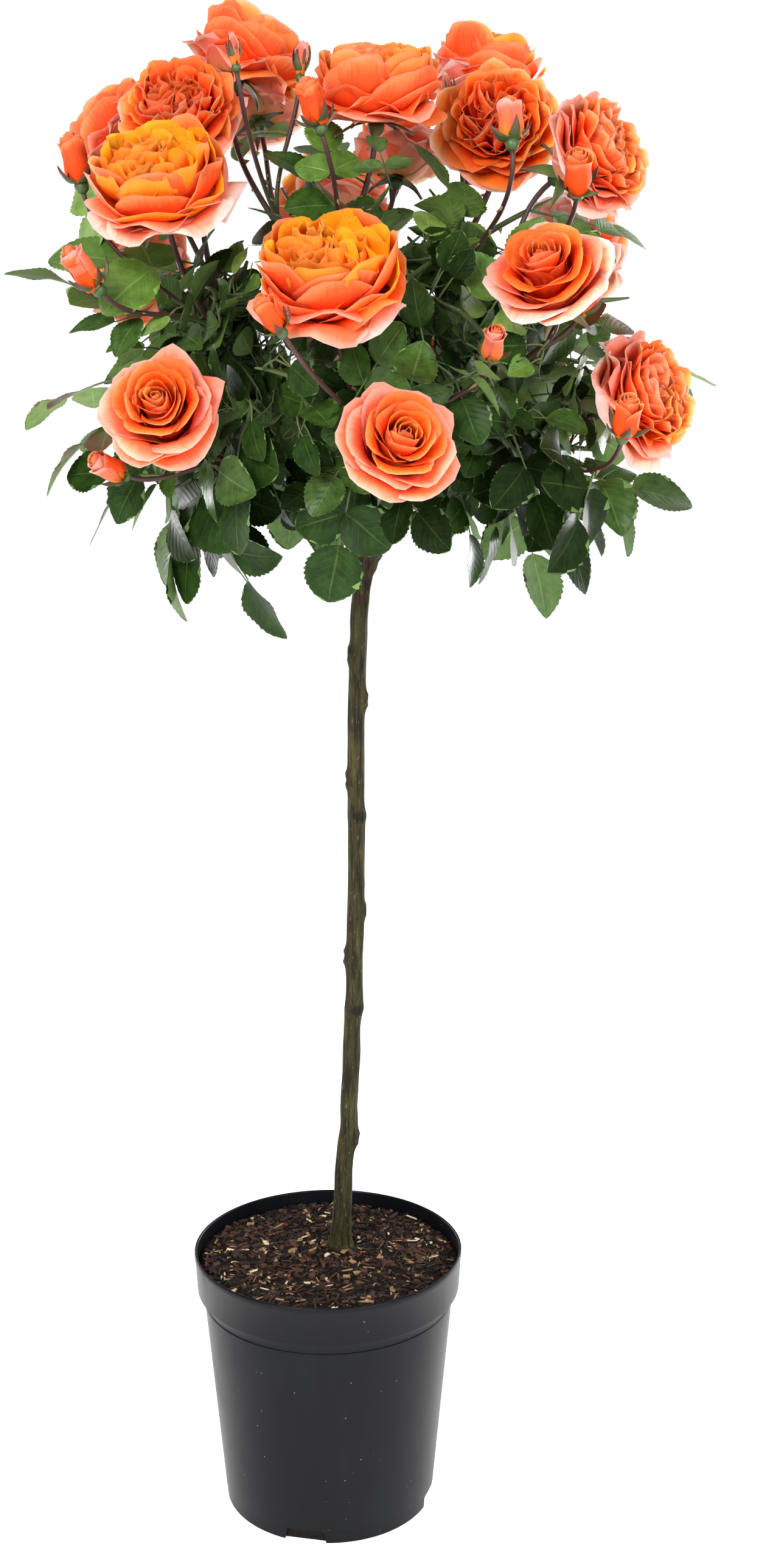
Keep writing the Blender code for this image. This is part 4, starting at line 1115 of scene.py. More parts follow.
# ---------------------------------------------------------------- pot and compost
@dataclass(frozen=True)
class Pot:
    """The nursery pot: a turned shell with a deep collar, a foot ring and notches at its foot."""

    sides: int = 144
    height: float = 0.191
    rim_radius: float = 0.095
    collar_radius: float = 0.093
    collar_height: float = 0.029
    body_radius: float = 0.089
    foot_radius: float = 0.0745
    foot_ring_height: float = 0.010
    foot_ring_step: float = 0.001
    wall: float = 0.002
    floor: float = 0.0024
    seam: float = 0.0005
    notch_count: int = 4
    notch_first_angle: float = math.radians(-102.0)
    notch_top_width: float = 0.026
    notch_foot_width: float = 0.034
    notch_height: float = 0.010
    notch_depth: float = 0.010
    notch_round: float = 0.002
    lip_steps: int = 8
    seam_drop: float = 0.0085
    crease: float = 40.0

    def wall_radius(self, height: float) -> float:
        """Outer radius of the body below the collar."""
        rise = (height - self.foot_ring_height) / (self.height - self.collar_height - self.foot_ring_height)
        return between(self.foot_radius + self.foot_ring_step, self.body_radius, rise)

    def inner_radius(self, height: float) -> float:
        """Inner radius of the collar."""
        rise = (height - (self.height - self.collar_height)) / self.collar_height
        return self.collar_radius - self.wall + (self.rim_radius - self.collar_radius) * rise

    def profile(self) -> list:
        """Half section, with the small steps of the mould.

        Returns:
            Radius and height of each corner: inner floor, inner wall, rolled lip, the lip's lower edge,
            collar, body with its seam, foot ring and underside.
        """
        collar = self.height - self.collar_height
        inner_foot = self.foot_radius - self.wall
        lip = self.wall / 2
        turns = [math.pi - math.pi * step / self.lip_steps for step in range(self.lip_steps + 1)]
        line = collar - self.seam_drop
        seam = self.wall_radius(line)
        ring = self.foot_ring_height
        ring_radius = self.foot_radius + self.foot_ring_step
        return [
            (0.0, self.floor), (inner_foot - 0.0015, self.floor), (inner_foot, self.floor + 0.0015),
            (self.body_radius - self.wall, collar - self.wall),
            (self.collar_radius - self.wall, collar + self.wall),
            *((self.rim_radius - lip + math.cos(turn) * lip, self.height - lip + math.sin(turn) * lip)
              for turn in turns),
            (self.rim_radius - 0.0001, self.height - 0.0040),
            (self.rim_radius - 0.0005, self.height - 0.0046),
            (self.collar_radius + 0.0002, collar + 0.0012), (self.collar_radius, collar + 0.0004),
            (self.collar_radius - 0.0008, collar),
            (self.body_radius + 0.0006, collar - 0.0002), (self.body_radius, collar - 0.0010),
            (seam, line + 0.0006), (seam + self.seam, line + 0.0002),
            (seam + self.seam, line - 0.0002), (seam, line - 0.0006),
            (ring_radius, ring + 0.0006), (ring_radius, ring), (self.foot_radius, ring - self.foot_ring_step),
            (self.foot_radius, 0.0008), (self.foot_radius - 0.0008, 0.0), (0.0, 0.0),
        ]

    def notch(self, index: int) -> bpy.types.Object:
        """A tapered block that cuts one drain notch."""
        bm = bmesh.new()
        bmesh.ops.create_cube(bm, size=1.0)
        for vert in bm.verts:
            top = vert.co.z > 0
            vert.co.x *= self.notch_depth
            vert.co.y *= self.notch_top_width if top else self.notch_foot_width
            vert.co.z = self.notch_height if top else -self.notch_height
        upright = [edge for edge in bm.edges if all(vert.co.z > 0 for vert in edge.verts)]
        lengthwise = [edge for edge in upright if abs(edge.verts[0].co.x - edge.verts[1].co.x) > MM]
        bmesh.ops.bevel(bm, geom=lengthwise, offset=self.notch_round, segments=4, profile=0.5, affect="EDGES",
                        material=-1)
        bmesh.ops.translate(bm, vec=(self.foot_radius, 0.0, 0.0), verts=bm.verts)
        angle = self.notch_first_angle + index * math.tau / self.notch_count
        bmesh.ops.rotate(bm, matrix=Matrix.Rotation(angle, 3, "Z"), verts=bm.verts)
        mesh = bpy.data.meshes.new("notch")
        bm.to_mesh(mesh)
        bm.free()
        return linked("notch", mesh)

    def build(self) -> None:
        """Turns the shell and cuts its notches."""
        bm = bmesh.new()
        corners = [bm.verts.new((radius, 0.0, height)) for radius, height in self.profile()]
        edges = [bm.edges.new(pair) for pair in zip(corners, corners[1:])]
        bmesh.ops.spin(bm, geom=corners + edges, axis=UP, cent=(0, 0, 0), angle=math.tau, steps=self.sides,
                       use_merge=True)
        bmesh.ops.remove_doubles(bm, verts=bm.verts, dist=1e-6)
        made = from_bmesh("pot_shell", bm, PlasticFinish().material(), self.crease)
        cutters = [self.notch(index) for index in range(self.notch_count)]
        for cutter in cutters:
            cut = made.modifiers.new("notch", "BOOLEAN")
            cut.operation = "DIFFERENCE"
            cut.object = cutter
        graph = bpy.context.evaluated_depsgraph_get()
        made.data = bpy.data.meshes.new_from_object(made.evaluated_get(graph))
        made.modifiers.clear()
        for cutter in cutters:
            bpy.data.objects.remove(cutter)
        settle(made, "pot", "pot")


@dataclass(frozen=True)
class ChipSize:
    """What the sizes of one kind of chip are drawn from, and how far it tips."""

    lengths: tuple
    widths: tuple
    widths_by_length: bool
    thicknesses: tuple
    pitch: float


@dataclass(frozen=True)
class Compost:
    """Dark compost under a mulch of bark chips."""

    pot: Pot
    top: float = 0.185
    rings: int = 26
    ring_crowding: float = 1.15
    sides: int = 96
    wall_gap: float = GAP * 1.3
    roughness: float = 0.0022
    settled: float = 0.0012
    dip: float = 0.0035
    dip_from: float = 0.078
    dip_width: float = 0.014
    chips: int = 2600
    chip: ChipSize = ChipSize((0.0020, 0.0062), (0.30, 0.75), True, (0.0005, 0.0016), 0.16)
    sliver: ChipSize = ChipSize((0.004, 0.010), (0.0007, 0.0014), False, (0.0004, 0.0009), 0.12)
    slivers: float = 0.60
    chip_rise: float = 0.0022
    chip_roll: float = 0.2
    corner_shares: tuple = (0.72, 1.1)
    rim_clear: float = 0.0008
    stem_x: float = 0.008
    stem_clear: float = 0.009
    seed: int = 23

    def lie(self, x: float, y: float) -> float:
        """Height of the surface at a place: uneven, and a little lower at the wall."""
        waves = noise.noise(Vector((x * 60, y * 60, 3.0))) * 0.6
        waves += noise.noise(Vector((x * 190, y * 190, 8.0))) * 0.4
        dip = max(0.0, (math.hypot(x, y) - self.dip_from) / self.dip_width) * self.dip
        return self.top - self.settled + waves * self.roughness - dip

    def build(self) -> None:
        """Makes the compost plug, and the chips on it."""
        pot = self.pot
        edge = pot.inner_radius(self.top) - GAP
        collar = pot.height - pot.collar_height
        rings = [(pot.foot_radius - pot.wall - self.wall_gap, pot.floor + GAP),
                 (pot.body_radius - pot.wall - self.wall_gap, collar - pot.wall),
                 (pot.collar_radius - pot.wall - self.wall_gap, collar + pot.wall + GAP),
                 (edge, self.top - 0.006)]
        rings += [(edge * (1 - (step / self.rings) ** self.ring_crowding), self.top)
                  for step in range(self.rings)]
        frames = [Matrix.Translation(UP * height) @ Matrix.Diagonal((radius, radius, 1.0, 1.0))
                  for radius, height in rings]
        bm = bmesh.new()
        stack_rings(bm, frames, self.sides)
        for vert in bm.verts:
            if vert.co.z > self.top - MM:
                vert.co.z = self.lie(vert.co.x, vert.co.y)
        settle(from_bmesh("compost_plug", bm, SoilFinish().material()), "compost", "compost")
        self.scatter(edge)

    def scatter(self, edge: float) -> None:
        """Strews bark chips and slivers over the surface, up to a radius."""
        rng = random.Random(self.seed)
        bm = bmesh.new()
        bmesh.ops.create_cube(bm, size=2.0, calc_uvs=True)
        stamp = Stamp.of(bm)
        batch = Batch("bark_chips", on_cells(CHIP_FINISHES), flat=True)
        for index in range(self.chips):
            size = self.sliver if rng.random() < self.slivers else self.chip
            length = rng.uniform(*size.lengths)
            width = rng.uniform(*size.widths) * (length if size.widths_by_length else 1.0)
            thick = rng.uniform(*size.thicknesses)
            away = math.sqrt(rng.random()) * (edge - length / 2 - self.rim_clear)
            turn = rng.uniform(0, math.tau)
            x, y = math.cos(turn) * away, math.sin(turn) * away
            rise = self.lie(x, y) + rng.uniform(0.0, self.chip_rise) * (index / self.chips) + thick * 0.3
            pitch = rng.gauss(0, size.pitch)
            if math.hypot(x - self.stem_x, y - TRUNK_DEPTH) < self.stem_clear:
                continue
            lean = Matrix.Rotation(rng.uniform(0, math.tau), 3, "Z") @ Matrix.Rotation(pitch, 3, "Y")
            lean = lean @ Matrix.Rotation(rng.gauss(0, self.chip_roll), 3, "X")
            jitter = np.array([[rng.uniform(*self.corner_shares) for _ in range(3)] for _ in stamp.places])
            local = stamp.places * jitter * np.array((length / 2, width / 2, thick / 2))
            draw = rng.random()
            cell = next(number for number, share in enumerate(CHIP_SHARES) if draw <= share)
            batch.add(stamp, local @ np.array(lean).T + np.array((x, y, rise)), (cell,))
        batch.piece("compost", "compost")


# ---------------------------------------------------------------- trunk and boughs
def trunk_ring(height: float) -> tuple:
    """Sideways place and radius of the stem at a height, read smoothly from its course.

    Args:
        height: Height above the floor.

    Returns:
        The sideways place and the radius.
    """
    rows = TRUNK_COURSE_MM
    for low, high in zip(rows, rows[1:]):
        if height <= high[0] * MM + 1e-9:
            share = (height / MM - low[0]) / (high[0] - low[0])
            return between(low[1], high[1], eased(share)) * MM, between(low[2], high[2], share) * MM / 2
    return rows[-1][1] * MM, rows[-1][2] * MM / 2


def solid_tree(node: bpy.types.Object) -> BVHTree:
    """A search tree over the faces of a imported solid, which are already in world space."""
    bm = bmesh.new()
    bm.from_mesh(node.data)
    tree = BVHTree.FromBMesh(bm)
    bm.free()
    return tree


def seat_on(carrier: bpy.types.Object, centre: Vector, way: Vector, radius: float) -> Vector:
    """Where a ring of this radius stands just off a solid, coming down on it along its own axis.

    Args:
        carrier: The solid that carries it.
        centre: A place inside the carrier.
        way: The ring's axis.
        radius: The ring's radius.

    Returns:
        The ring's centre.
    """
    probes = 24
    reach = 0.05
    tree = solid_tree(carrier)
    side = way.orthogonal().normalized()
    across = way.cross(side)
    highest = 0.0
    for index in range(probes):
        turn = index * math.tau / probes
        offset = (side * math.cos(turn) + across * math.sin(turn)) * radius
        hit = tree.ray_cast(centre + offset + way * reach, -way)
        if hit[0] is not None:
            highest = max(highest, reach - hit[3])
    for vert in carrier.data.vertices:
        offset = vert.co - centre
        height = offset.dot(way)
        if height < reach and (offset - way * height).length < radius:
            highest = max(highest, height)
    return centre + way * (highest + GAP)


@dataclass
class Stem:
    """The bare trunk with its scars, bark and graft, and the boughs that leave it."""

    sides: int = 56
    ring_step: float = 0.0026
    foot: float = 0.1845
    graft_steps: tuple = (0.25, 0.5, 0.75, 1.0)
    scar_reach: float = 0.0062
    # scale round the stem, scale up it, shift and depth of each layer of relief on the skin
    relief: tuple = ((5.2, 26, 0, 0.00050), (14, 60, 7, 0.000225), (1.3, 46, 20, 0.0006))
    graft_relief: tuple = (2.3, 120, 0, 0.0022)
    graft_from: float = 0.655
    graft_rise: float = 0.02
    root_relief: tuple = (2.1, 0, 31, 0.0034)
    root_flare: float = 0.35
    root_height: float = 0.186
    root_fade: float = 0.008
    knot_span: float = 0.02
    knot_width: float = 0.0065
    knot_swell: float = 0.85
    knot_ring: tuple = (0.0042, 0.0022, 0.32)
    knot_pit: tuple = (0.0022, 0.0011)
    bough_sides: int = 16
    bough_steps: int = 6
    bough_fine_steps: int = 30
    bough_pull: float = 0.40
    bough_roots: tuple = (0.004, 0.002)
    collar_swell: float = 0.28
    collar_reach: float = 0.004
    bough_relief: float = 0.00035
    bough_relief_scale: float = 420.0
    courses: dict = field(default_factory=dict)

    def trunk_course(self) -> tuple:
        """The rings of the trunk, from its foot in the compost up over the graft.

        Returns:
            The centre and the radius of each ring.
        """
        lowest, top = TRUNK_COURSE_MM[0][0] * MM, TRUNK_COURSE_MM[-1][0] * MM
        count = round((top - self.foot) / self.ring_step)
        course, radii = [], []
        for step in range(count + 1):
            height = self.foot + (top - self.foot) * step / count
            sideways, radius = trunk_ring(max(height, lowest))
            course.append(Vector((sideways, TRUNK_DEPTH, height)))
            radii.append(radius)
        knots, sizes = [course[-1].copy()], [radii[-1]]
        for rise, share in GRAFT_RINGS:
            lean = (GRAFT_CENTRE.x - knots[-1].x) * GRAFT_LEAN
            knots.append(Vector((knots[-1].x + lean, TRUNK_DEPTH, GRAFT_CENTRE.z + rise)))
            sizes.append(GRAFT_RADIUS * share)
        for first, second, before, after in zip(knots, knots[1:], sizes, sizes[1:]):
            course += [first.lerp(second, step) for step in self.graft_steps]
            radii += [between(before, after, eased(step)) for step in self.graft_steps]
        return course, radii

    def trunk(self) -> None:
        """Builds the trunk: a finely ringed tube with streaks, scars and a knobbly graft."""
        course, radii = self.trunk_course()
        bm = bmesh.new()
        rows = stack_rings(bm, ring_frames(course, radii, UP, UP), self.sides)
        for centre, radius, row in zip(course, radii, rows):
            for vert in row:
                self.carve(vert, centre, radius)
        scars = []
        for rise, angle, _ in KNOTS_MM:
            sideways, radius = trunk_ring(rise * MM)
            spot = Vector((sideways, TRUNK_DEPTH, rise * MM)) + heading(angle, 0) * radius
            scars.append((tuple(spot), self.scar_reach))
        bark = BarkFinish("trunk_bark", tone(46, 42, 21), tone(51, 38, 27), tone(16, 13, 10), 0.60, 0.70,
                          scars=tuple(scars))
        settle(from_bmesh("trunk_skin", bm, bark.material()), "bark", TRUNK)

    def carve(self, vert: bmesh.types.BMVert, centre: Vector, radius: float) -> None:
        """Moves one corner of the trunk's skin by its streaks, scars, roots or graft.

        Args:
            vert: The corner.
            centre: The centre of its ring.
            radius: The ring's radius.
        """
        out = vert.co - centre
        out.z = 0.0
        out.normalize()
        height = vert.co.z

        def wave(scale: float, rise: float, shift: float) -> float:
            """Soft relief, from about -1 to 1."""
            return noise.noise(Vector((out.x * scale, out.y * scale, height * rise + shift)))

        push = sum(wave(*layer) * depth for *layer, depth in self.relief)
        *layer, depth = self.graft_relief
        push += clamped((height - self.graft_from) / self.graft_rise) * wave(*layer) * depth
        *layer, depth = self.root_relief
        flare = math.exp(-max(0.0, height - self.root_height) / self.root_fade)
        push += flare * (wave(*layer) + self.root_flare) * depth
        ring_away, ring_width, ring_share = self.knot_ring
        pit_width, pit_depth = self.knot_pit
        for rise, angle, swelling in KNOTS_MM:
            if abs(height - rise * MM) > self.knot_span:
                continue
            spot = Vector((centre.x, centre.y, rise * MM)) + heading(angle, 0) * radius
            away = (vert.co - spot).length
            ring = math.exp(-((away - ring_away) / ring_width) ** 2)
            swell = math.exp(-(away / self.knot_width) ** 2)
            push += swelling * MM * (swell * self.knot_swell + ring * ring_share)
            push -= pit_depth * math.exp(-(away / pit_width) ** 2)
        vert.co += out * push

    def boughs(self) -> None:
        """Builds every bough as one tapering limb, with a collar where it leaves its carrier."""
        nodes = frame["nodes"]
        whole = bmesh.new()
        for name, limb in BOUGHS.items():
            if limb.carrier == TRUNK:
                centre = GRAFT_CENTRE.copy()
            else:
                centre = along_course(self.courses[limb.carrier][0], limb.along)[0]
            start = seat_on(nodes[limb.carrier], centre, limb.start_way, limb.base_radius)
            end_way = limb.end - (GRAFT_CENTRE + start) / 2
            ends = (start, limb.start_way, limb.end, end_way, self.bough_pull)
            self.courses[name] = (bend(*ends, self.bough_steps), end_way.normalized())
            course = [start - limb.start_way * back for back in self.bough_roots]
            course += bend(*ends, self.bough_fine_steps)
            radii = []
            for index, place in enumerate(course):
                share = max(0, index - len(self.bough_roots)) / self.bough_fine_steps
                collar = 1 + self.collar_swell * math.exp(-(place - start).length / self.collar_reach)
                radii.append(between(limb.base_radius, limb.tip_radius, share) * collar)
            for centre, row in zip(course, stack_rings(whole, ring_frames(course, radii), self.bough_sides)):
                for vert in row:
                    out = (vert.co - centre).normalized()
                    vert.co += out * noise.noise(vert.co * self.bough_relief_scale) * self.bough_relief
        bark = BarkFinish("bough_bark", tone(74, 88, 42), tone(80, 68, 44), tone(46, 38, 28), 0.70, 0.95)
        settle(from_bmesh("bough_skin", whole, bark.material()), "bark", *BOUGHS)


# ---------------------------------------------------------------- growth: twigs
TWIG_STEP = 0.034
SKELETON_STEP = 0.006
SKELETON_LEAST = 4
FORK_BACK = 0.55
FORK_EARLIEST = 0.10
FORK_LATEST = 0.62
FORK_LATEST_LEAFY = 0.85
FORK_STEPS = 19
FORK_THINNING = 0.88
FORK_ALONG = 0.7
FORK_TO_TARGET = 0.6
TWIG_BASE_RADIUS = 0.0027
TWIG_TIP_RADIUS = 0.0016
BUD_TWIG_RADIUS = 0.0015
TWIG_PULL = 0.36
STEM_LENGTH = 0.012
BLOOM_STEM_SINK = 0.70
BUD_LENGTH = 1.55
BUD_STEM_SINK = 0.4


@dataclass(frozen=True)
class Twig:
    """A grown shoot: its fine course, its radius at both ends, and the shoot that it serves."""

    course: list
    base_radius: float
    tip_radius: float
    shoot: Shoot


def shoot_target(shoot: Shoot) -> Vector:
    """Where a shoot's twig ends: inside the base of what it carries."""
    if shoot.kind is Kind.LEAFY:
        return shoot.end
    if shoot.kind is Kind.BUD:
        return shoot.end - shoot.facing * shoot.width * BUD_LENGTH * BUD_STEM_SINK
    return shoot.end - shoot.facing * shoot.width / 2 * BLOOM_STEM_SINK


def nearest_fork(twigs: list, target: Vector) -> tuple:
    """The grown twig and the share of its length that a new shoot should leave from.

    Args:
        twigs: The twigs that have grown so far.
        target: Where the new shoot ends.

    Returns:
        The twig and the share of its length.
    """
    best = None
    for twig in twigs:
        length = course_length(twig.course)
        last = FORK_LATEST_LEAFY if twig.shoot.kind is Kind.LEAFY else FORK_LATEST
        if twig.shoot.kind is Kind.BUD:
            continue
        for step in range(1, FORK_STEPS + 1):
            share = FORK_EARLIEST + (last - FORK_EARLIEST) * step / FORK_STEPS
            place, _ = along_course(twig.course, share)
            reach = (target - place).length
            if best is None or reach < best[0]:
                best = (reach, twig, share, length)
    reach, twig, share, length = best
    back = min(reach * FORK_BACK, share * length - FORK_EARLIEST * length)
    return twig, max(FORK_EARLIEST, share - back / length)


def grow_twigs(root: Vector, root_way: Vector, shoots: tuple) -> list:
    """Grows a mass's twigs: the leader from its stem, every other from the nearest twig grown before it.

    Args:
        root: Where the mass's stem lets the leader go.
        root_way: The stem's heading.
        shoots: What the mass carries, leader first.

    Returns:
        The twigs.
    """
    twigs = []
    for shoot in shoots:
        target = shoot_target(shoot)
        if not twigs:
            start, way, thick = root, root_way, TWIG_BASE_RADIUS
        else:
            host, share = nearest_fork(twigs, target)
            start, way = along_course(host.course, share)
            thick = between(host.base_radius, host.tip_radius, share)
            way = (way * FORK_ALONG + (target - start).normalized() * FORK_TO_TARGET).normalized()
            thick = max(thick * FORK_THINNING, TWIG_TIP_RADIUS)
        slim = BUD_TWIG_RADIUS if shoot.kind is Kind.BUD else thick
        steps = max(SKELETON_LEAST, round((target - start).length / SKELETON_STEP))
        course = bend(start, way, target, shoot.facing, TWIG_PULL, steps)
        twigs.append(Twig(course, slim, min(TWIG_TIP_RADIUS, slim), shoot))
    return twigs


def twigs_tree(twigs: list) -> BVHTree:
    """A search tree over a mass's twigs, as slim three-sided tubes."""
    places, faces = [], []
    for twig in twigs:
        course = spaced(twig.course, TWIG_STEP, 2)
        stamp = tube_stamp(3, len(course))
        spots = along_frames(stamp, ring_frames(course, [twig.tip_radius] * len(course)))
        first = len(places)
        places += [tuple(spot) for spot in spots]
        corners = iter(stamp.corners)
        faces += [[int(next(corners)) + first for _ in range(size)] for size in stamp.sizes]
    return BVHTree.FromPolygons(places, faces)


class Space:
    """Which mass a place belongs to: the one whose twigs and blooms it is nearest to."""

    MARGIN = 0.0010

    def __init__(self, skeletons: list) -> None:
        """Gathers the places, radii and owners of every mass's skeleton."""
        places, radii, owners = [], [], []
        for number, twigs in enumerate(skeletons):
            for twig in twigs:
                for place in twig.course:
                    places.append(place[:])
                    radii.append(twig.tip_radius)
                    owners.append(number)
                if twig.shoot.kind is not Kind.LEAFY:
                    places.append(twig.shoot.end[:])
                    radii.append(twig.shoot.width / 2)
                    owners.append(number)
        self.places = np.array(places)
        self.radii = np.array(radii)
        self.owners = np.array(owners)

    def holds(self, number: int, samples: list) -> bool:
        """Tests whether places lie in a mass's own space.

        Args:
            number: The mass.
            samples: The places.

        Returns:
            True where all of them do by the margin.
        """
        spots = np.array([sample[:] for sample in samples])
        away = np.linalg.norm(spots[:, None, :] - self.places[None, :, :], axis=2) - self.radii
        own = away[:, self.owners == number].min(axis=1)
        other = away[:, self.owners != number].min(axis=1)
        return bool(((other - own) / 2 > self.MARGIN).all())


# ---------------------------------------------------------------- growth: leaves
CROWN_CENTRE = Vector((0.030, 0.000, 0.800))
LIMB_MARGIN = 0.0012
LEAF_SEED = 4100
LEAF_SPACING = 0.026
LEAF_FIRST = 0.016
LEAF_LAST = {Kind.BUD: 0.020, Kind.LEAFY: 0.014}
LEAF_LAST_BLOOM = 0.030
END_SPREAD = 0.15
LEAF_TRIES = 20
TRY_SHRINK = 0.98
TWO_PAIR_SHARE = 0.18
RETRY_TURN = 0.9
PETIOLE_RADIUS = 0.0013
LEAFLET_SCALE = 1.22
LEAFLET_WIDTH = 0.80
LEAFLET_WIDEST = 0.44
STALK_FREE = 0.005
PAIR_SHARES = (0.94, 0.78, 0.66)
LEAFLET_SAG = 0.10
LEAFLET_LENGTHS = (0.030, 0.041)
PETIOLE_LENGTHS = (0.014, 0.022)
PAIR_STEP = 0.50
DROOPS = (0.0, 0.50)
HANG = 0.60
HANG_FROM = 0.81
HANG_DEPTH = 0.08
ALONG_SHARES = (0.20, 0.60)
OUTWARD_SHARES = (0.15, 0.60)
FLATTENS = (0.10, 0.90)
FACE_OUTWARD = (0.7, 1.2)
FACE_UP = (0.2, 0.7)
FACE_WANDER = (0.3, 0.2)
PAIR_ASIDE = 0.86
PAIR_FORWARD = 0.5
PAIR_DROP = 0.12
PAIR_TILTS = (0.05, 0.3)
BLOOM_CLEAR = 0.92
FACE_CLEAR_DEPTH = 0.050
FACE_CLEAR_SHARE = 0.75
FRONT_BLOOM_DEPTH = 0.03
FRONT_CLEAR_DEPTH = 0.10
FRONT_CLEAR_SHARE = 0.80
LEAF_CEILING = 0.965


@dataclass(frozen=True)
class Leaflet:
    """One leaflet: its root, the way it points, the way its face looks and its length."""

    root: Vector
    way: Vector
    face: Vector
    length: float

    def corners(self) -> tuple:
        """The four corners of the leaflet: root, one side, tip, other side."""
        across = self.face.cross(self.way)
        half = self.length * LEAFLET_WIDTH / 2
        widest = self.root + self.way * self.length * LEAFLET_WIDEST
        tip = self.root + self.way * self.length - self.face * self.length * LEAFLET_SAG
        return (self.root, widest + across * half, tip, widest - across * half)


@dataclass(frozen=True)
class Spray:
    """One compound leaf: the straight course of its stalk and its leaflets, the end one first."""

    stalk: list
    leaflets: list

    def samples(self) -> list:
        """Places all over the spray that have to lie in its mass's space."""
        places = list(self.stalk[1:])
        for leaflet in self.leaflets:
            corners = leaflet.corners()
            places += corners[1:]
            places += [(first + second) / 2 for first, second in zip(corners, corners[1:] + corners[:1])]
        return places

    def tree(self) -> BVHTree:
        """A search tree over the spray's leaflets, as flat kites."""
        places, faces = [], []
        for leaflet in self.leaflets:
            first = len(places)
            places += leaflet.corners()
            faces += [(first, first + 1, first + 2), (first, first + 2, first + 3)]
        root, end = self.stalk
        way = (end - root).normalized()
        first = len(places)
        places += [root + way * STALK_FREE, end, end + self.leaflets[0].face * PETIOLE_RADIUS]
        faces.append((first, first + 1, first + 2))
        return BVHTree.FromPolygons(places, faces)


def make_spray(rng: random.Random, place: Vector, way: Vector, turn: float, scale: float, spread: float,
               most_pairs: int = 2, wander: float = 1.0) -> Spray:
    """Draws one compound leaf on a twig: a stalk with an end leaflet and one or two pairs.

    Args:
        rng: Where its draws come from.
        place: Where it leaves its twig.
        way: The twig's heading there.
        turn: The angle round the twig.
        scale: Size as a share of a full leaf.
        spread: How far it leans out from the twig.
        most_pairs: 0 for a lone leaflet, or 2 for the usual one or two pairs.
        wander: How much more than usual its faces stray.

    Returns:
        The spray.
    """
    outward = (place - CROWN_CENTRE).normalized()
    side = Matrix.Rotation(turn, 3, way) @ way.orthogonal().normalized()
    droop = rng.uniform(*DROOPS) + clamped((HANG_FROM - place.z) / HANG_DEPTH) * HANG
    lean = way * rng.uniform(*ALONG_SHARES) + outward * rng.uniform(*OUTWARD_SHARES)
    direction = side * spread + lean - UP * droop
    level = max(0.0, direction.dot(outward)) * rng.uniform(*FLATTENS)
    direction = (direction - outward * level).normalized()
    face = outward * rng.uniform(*FACE_OUTWARD) + UP * rng.uniform(*FACE_UP)
    level, rise = (most * wander for most in FACE_WANDER)
    face += Vector((rng.uniform(-level, level), rng.uniform(-level, level), rng.uniform(-rise, rise)))
    face = (face - direction * face.dot(direction)).normalized()
    size = rng.uniform(*LEAFLET_LENGTHS) * LEAFLET_SCALE * scale
    pairs = min(most_pairs, 2 if rng.random() < TWO_PAIR_SHARE else 1)
    petiole = rng.uniform(*PETIOLE_LENGTHS) * min(1.0, scale + 0.2)
    step = size * PAIR_STEP
    across = face.cross(direction)
    stalk = [place, place + direction * (petiole + step * pairs)]
    leaflets = [Leaflet(stalk[1], direction, face, size)]
    for index in range(pairs):
        node = stalk[1] - direction * step * (index + 1)
        for hand in (1.0, -1.0):
            out = (across * hand * PAIR_ASIDE + direction * PAIR_FORWARD - face * PAIR_DROP).normalized()
            tilt = (face + across * hand * rng.uniform(*PAIR_TILTS)).normalized()
            tilt = (tilt - out * tilt.dot(out)).normalized()
            leaflets.append(Leaflet(node, out, tilt, size * PAIR_SHARES[index]))
    return Spray(stalk, leaflets)


def hides_bloom(sample: Vector, shoots: list) -> bool:
    """True where a place lies in a bloom or in front of its open face."""
    for shoot in shoots:
        if shoot.kind is Kind.LEAFY:
            continue
        offset = sample - shoot.end
        half = shoot.width / 2
        if offset.length < half * BLOOM_CLEAR:
            return True
        ahead = offset.dot(shoot.facing)
        if shoot.kind is not Kind.BUD and 0 < ahead < FACE_CLEAR_DEPTH:
            if (offset - shoot.facing * ahead).length < half * FACE_CLEAR_SHARE:
                return True
    return False


def veils_bloom(sample: Vector, shoots: list) -> bool:
    """True where a place would hide a front bloom from the front, or stands above the crown's leaves."""
    if sample.z > LEAF_CEILING:
        return True
    for shoot in shoots:
        if shoot.kind not in BLOOM_PLANS or shoot.end.y > FRONT_BLOOM_DEPTH:
            continue
        offset = sample - shoot.end
        aside = math.hypot(offset.x, offset.z)
        if -FRONT_CLEAR_DEPTH < offset.y < 0 and aside < shoot.width / 2 * FRONT_CLEAR_SHARE:
            return True
    return False


@dataclass
class Crown:
    """What every mass of foliage has to keep clear of, and the space of each."""

    space: Space
    limbs: list
    shoots: list

    def fits(self, spray: Spray, number: int, twig_tree: BVHTree, trees: list) -> bool:
        """Tests whether a spray keeps its space and touches no limb, twig, bloom or other spray.

        Args:
            spray: The spray.
            number: The mass that it belongs to.
            twig_tree: The mass's twigs.
            trees: The mass's earlier sprays.

        Returns:
            True where it fits.
        """
        samples = spray.samples()
        if any(hides_bloom(sample, self.shoots) or veils_bloom(sample, self.shoots) for sample in samples):
            return False
        if not self.space.holds(number, samples):
            return False
        tree = spray.tree()
        for limb in self.limbs:
            if tree.overlap(limb):
                return False
            if any(limb.find_nearest(sample)[3] < LIMB_MARGIN for sample in samples):
                return False
        if tree.overlap(twig_tree):
            return False
        return not any(tree.overlap(other) for other in trees)


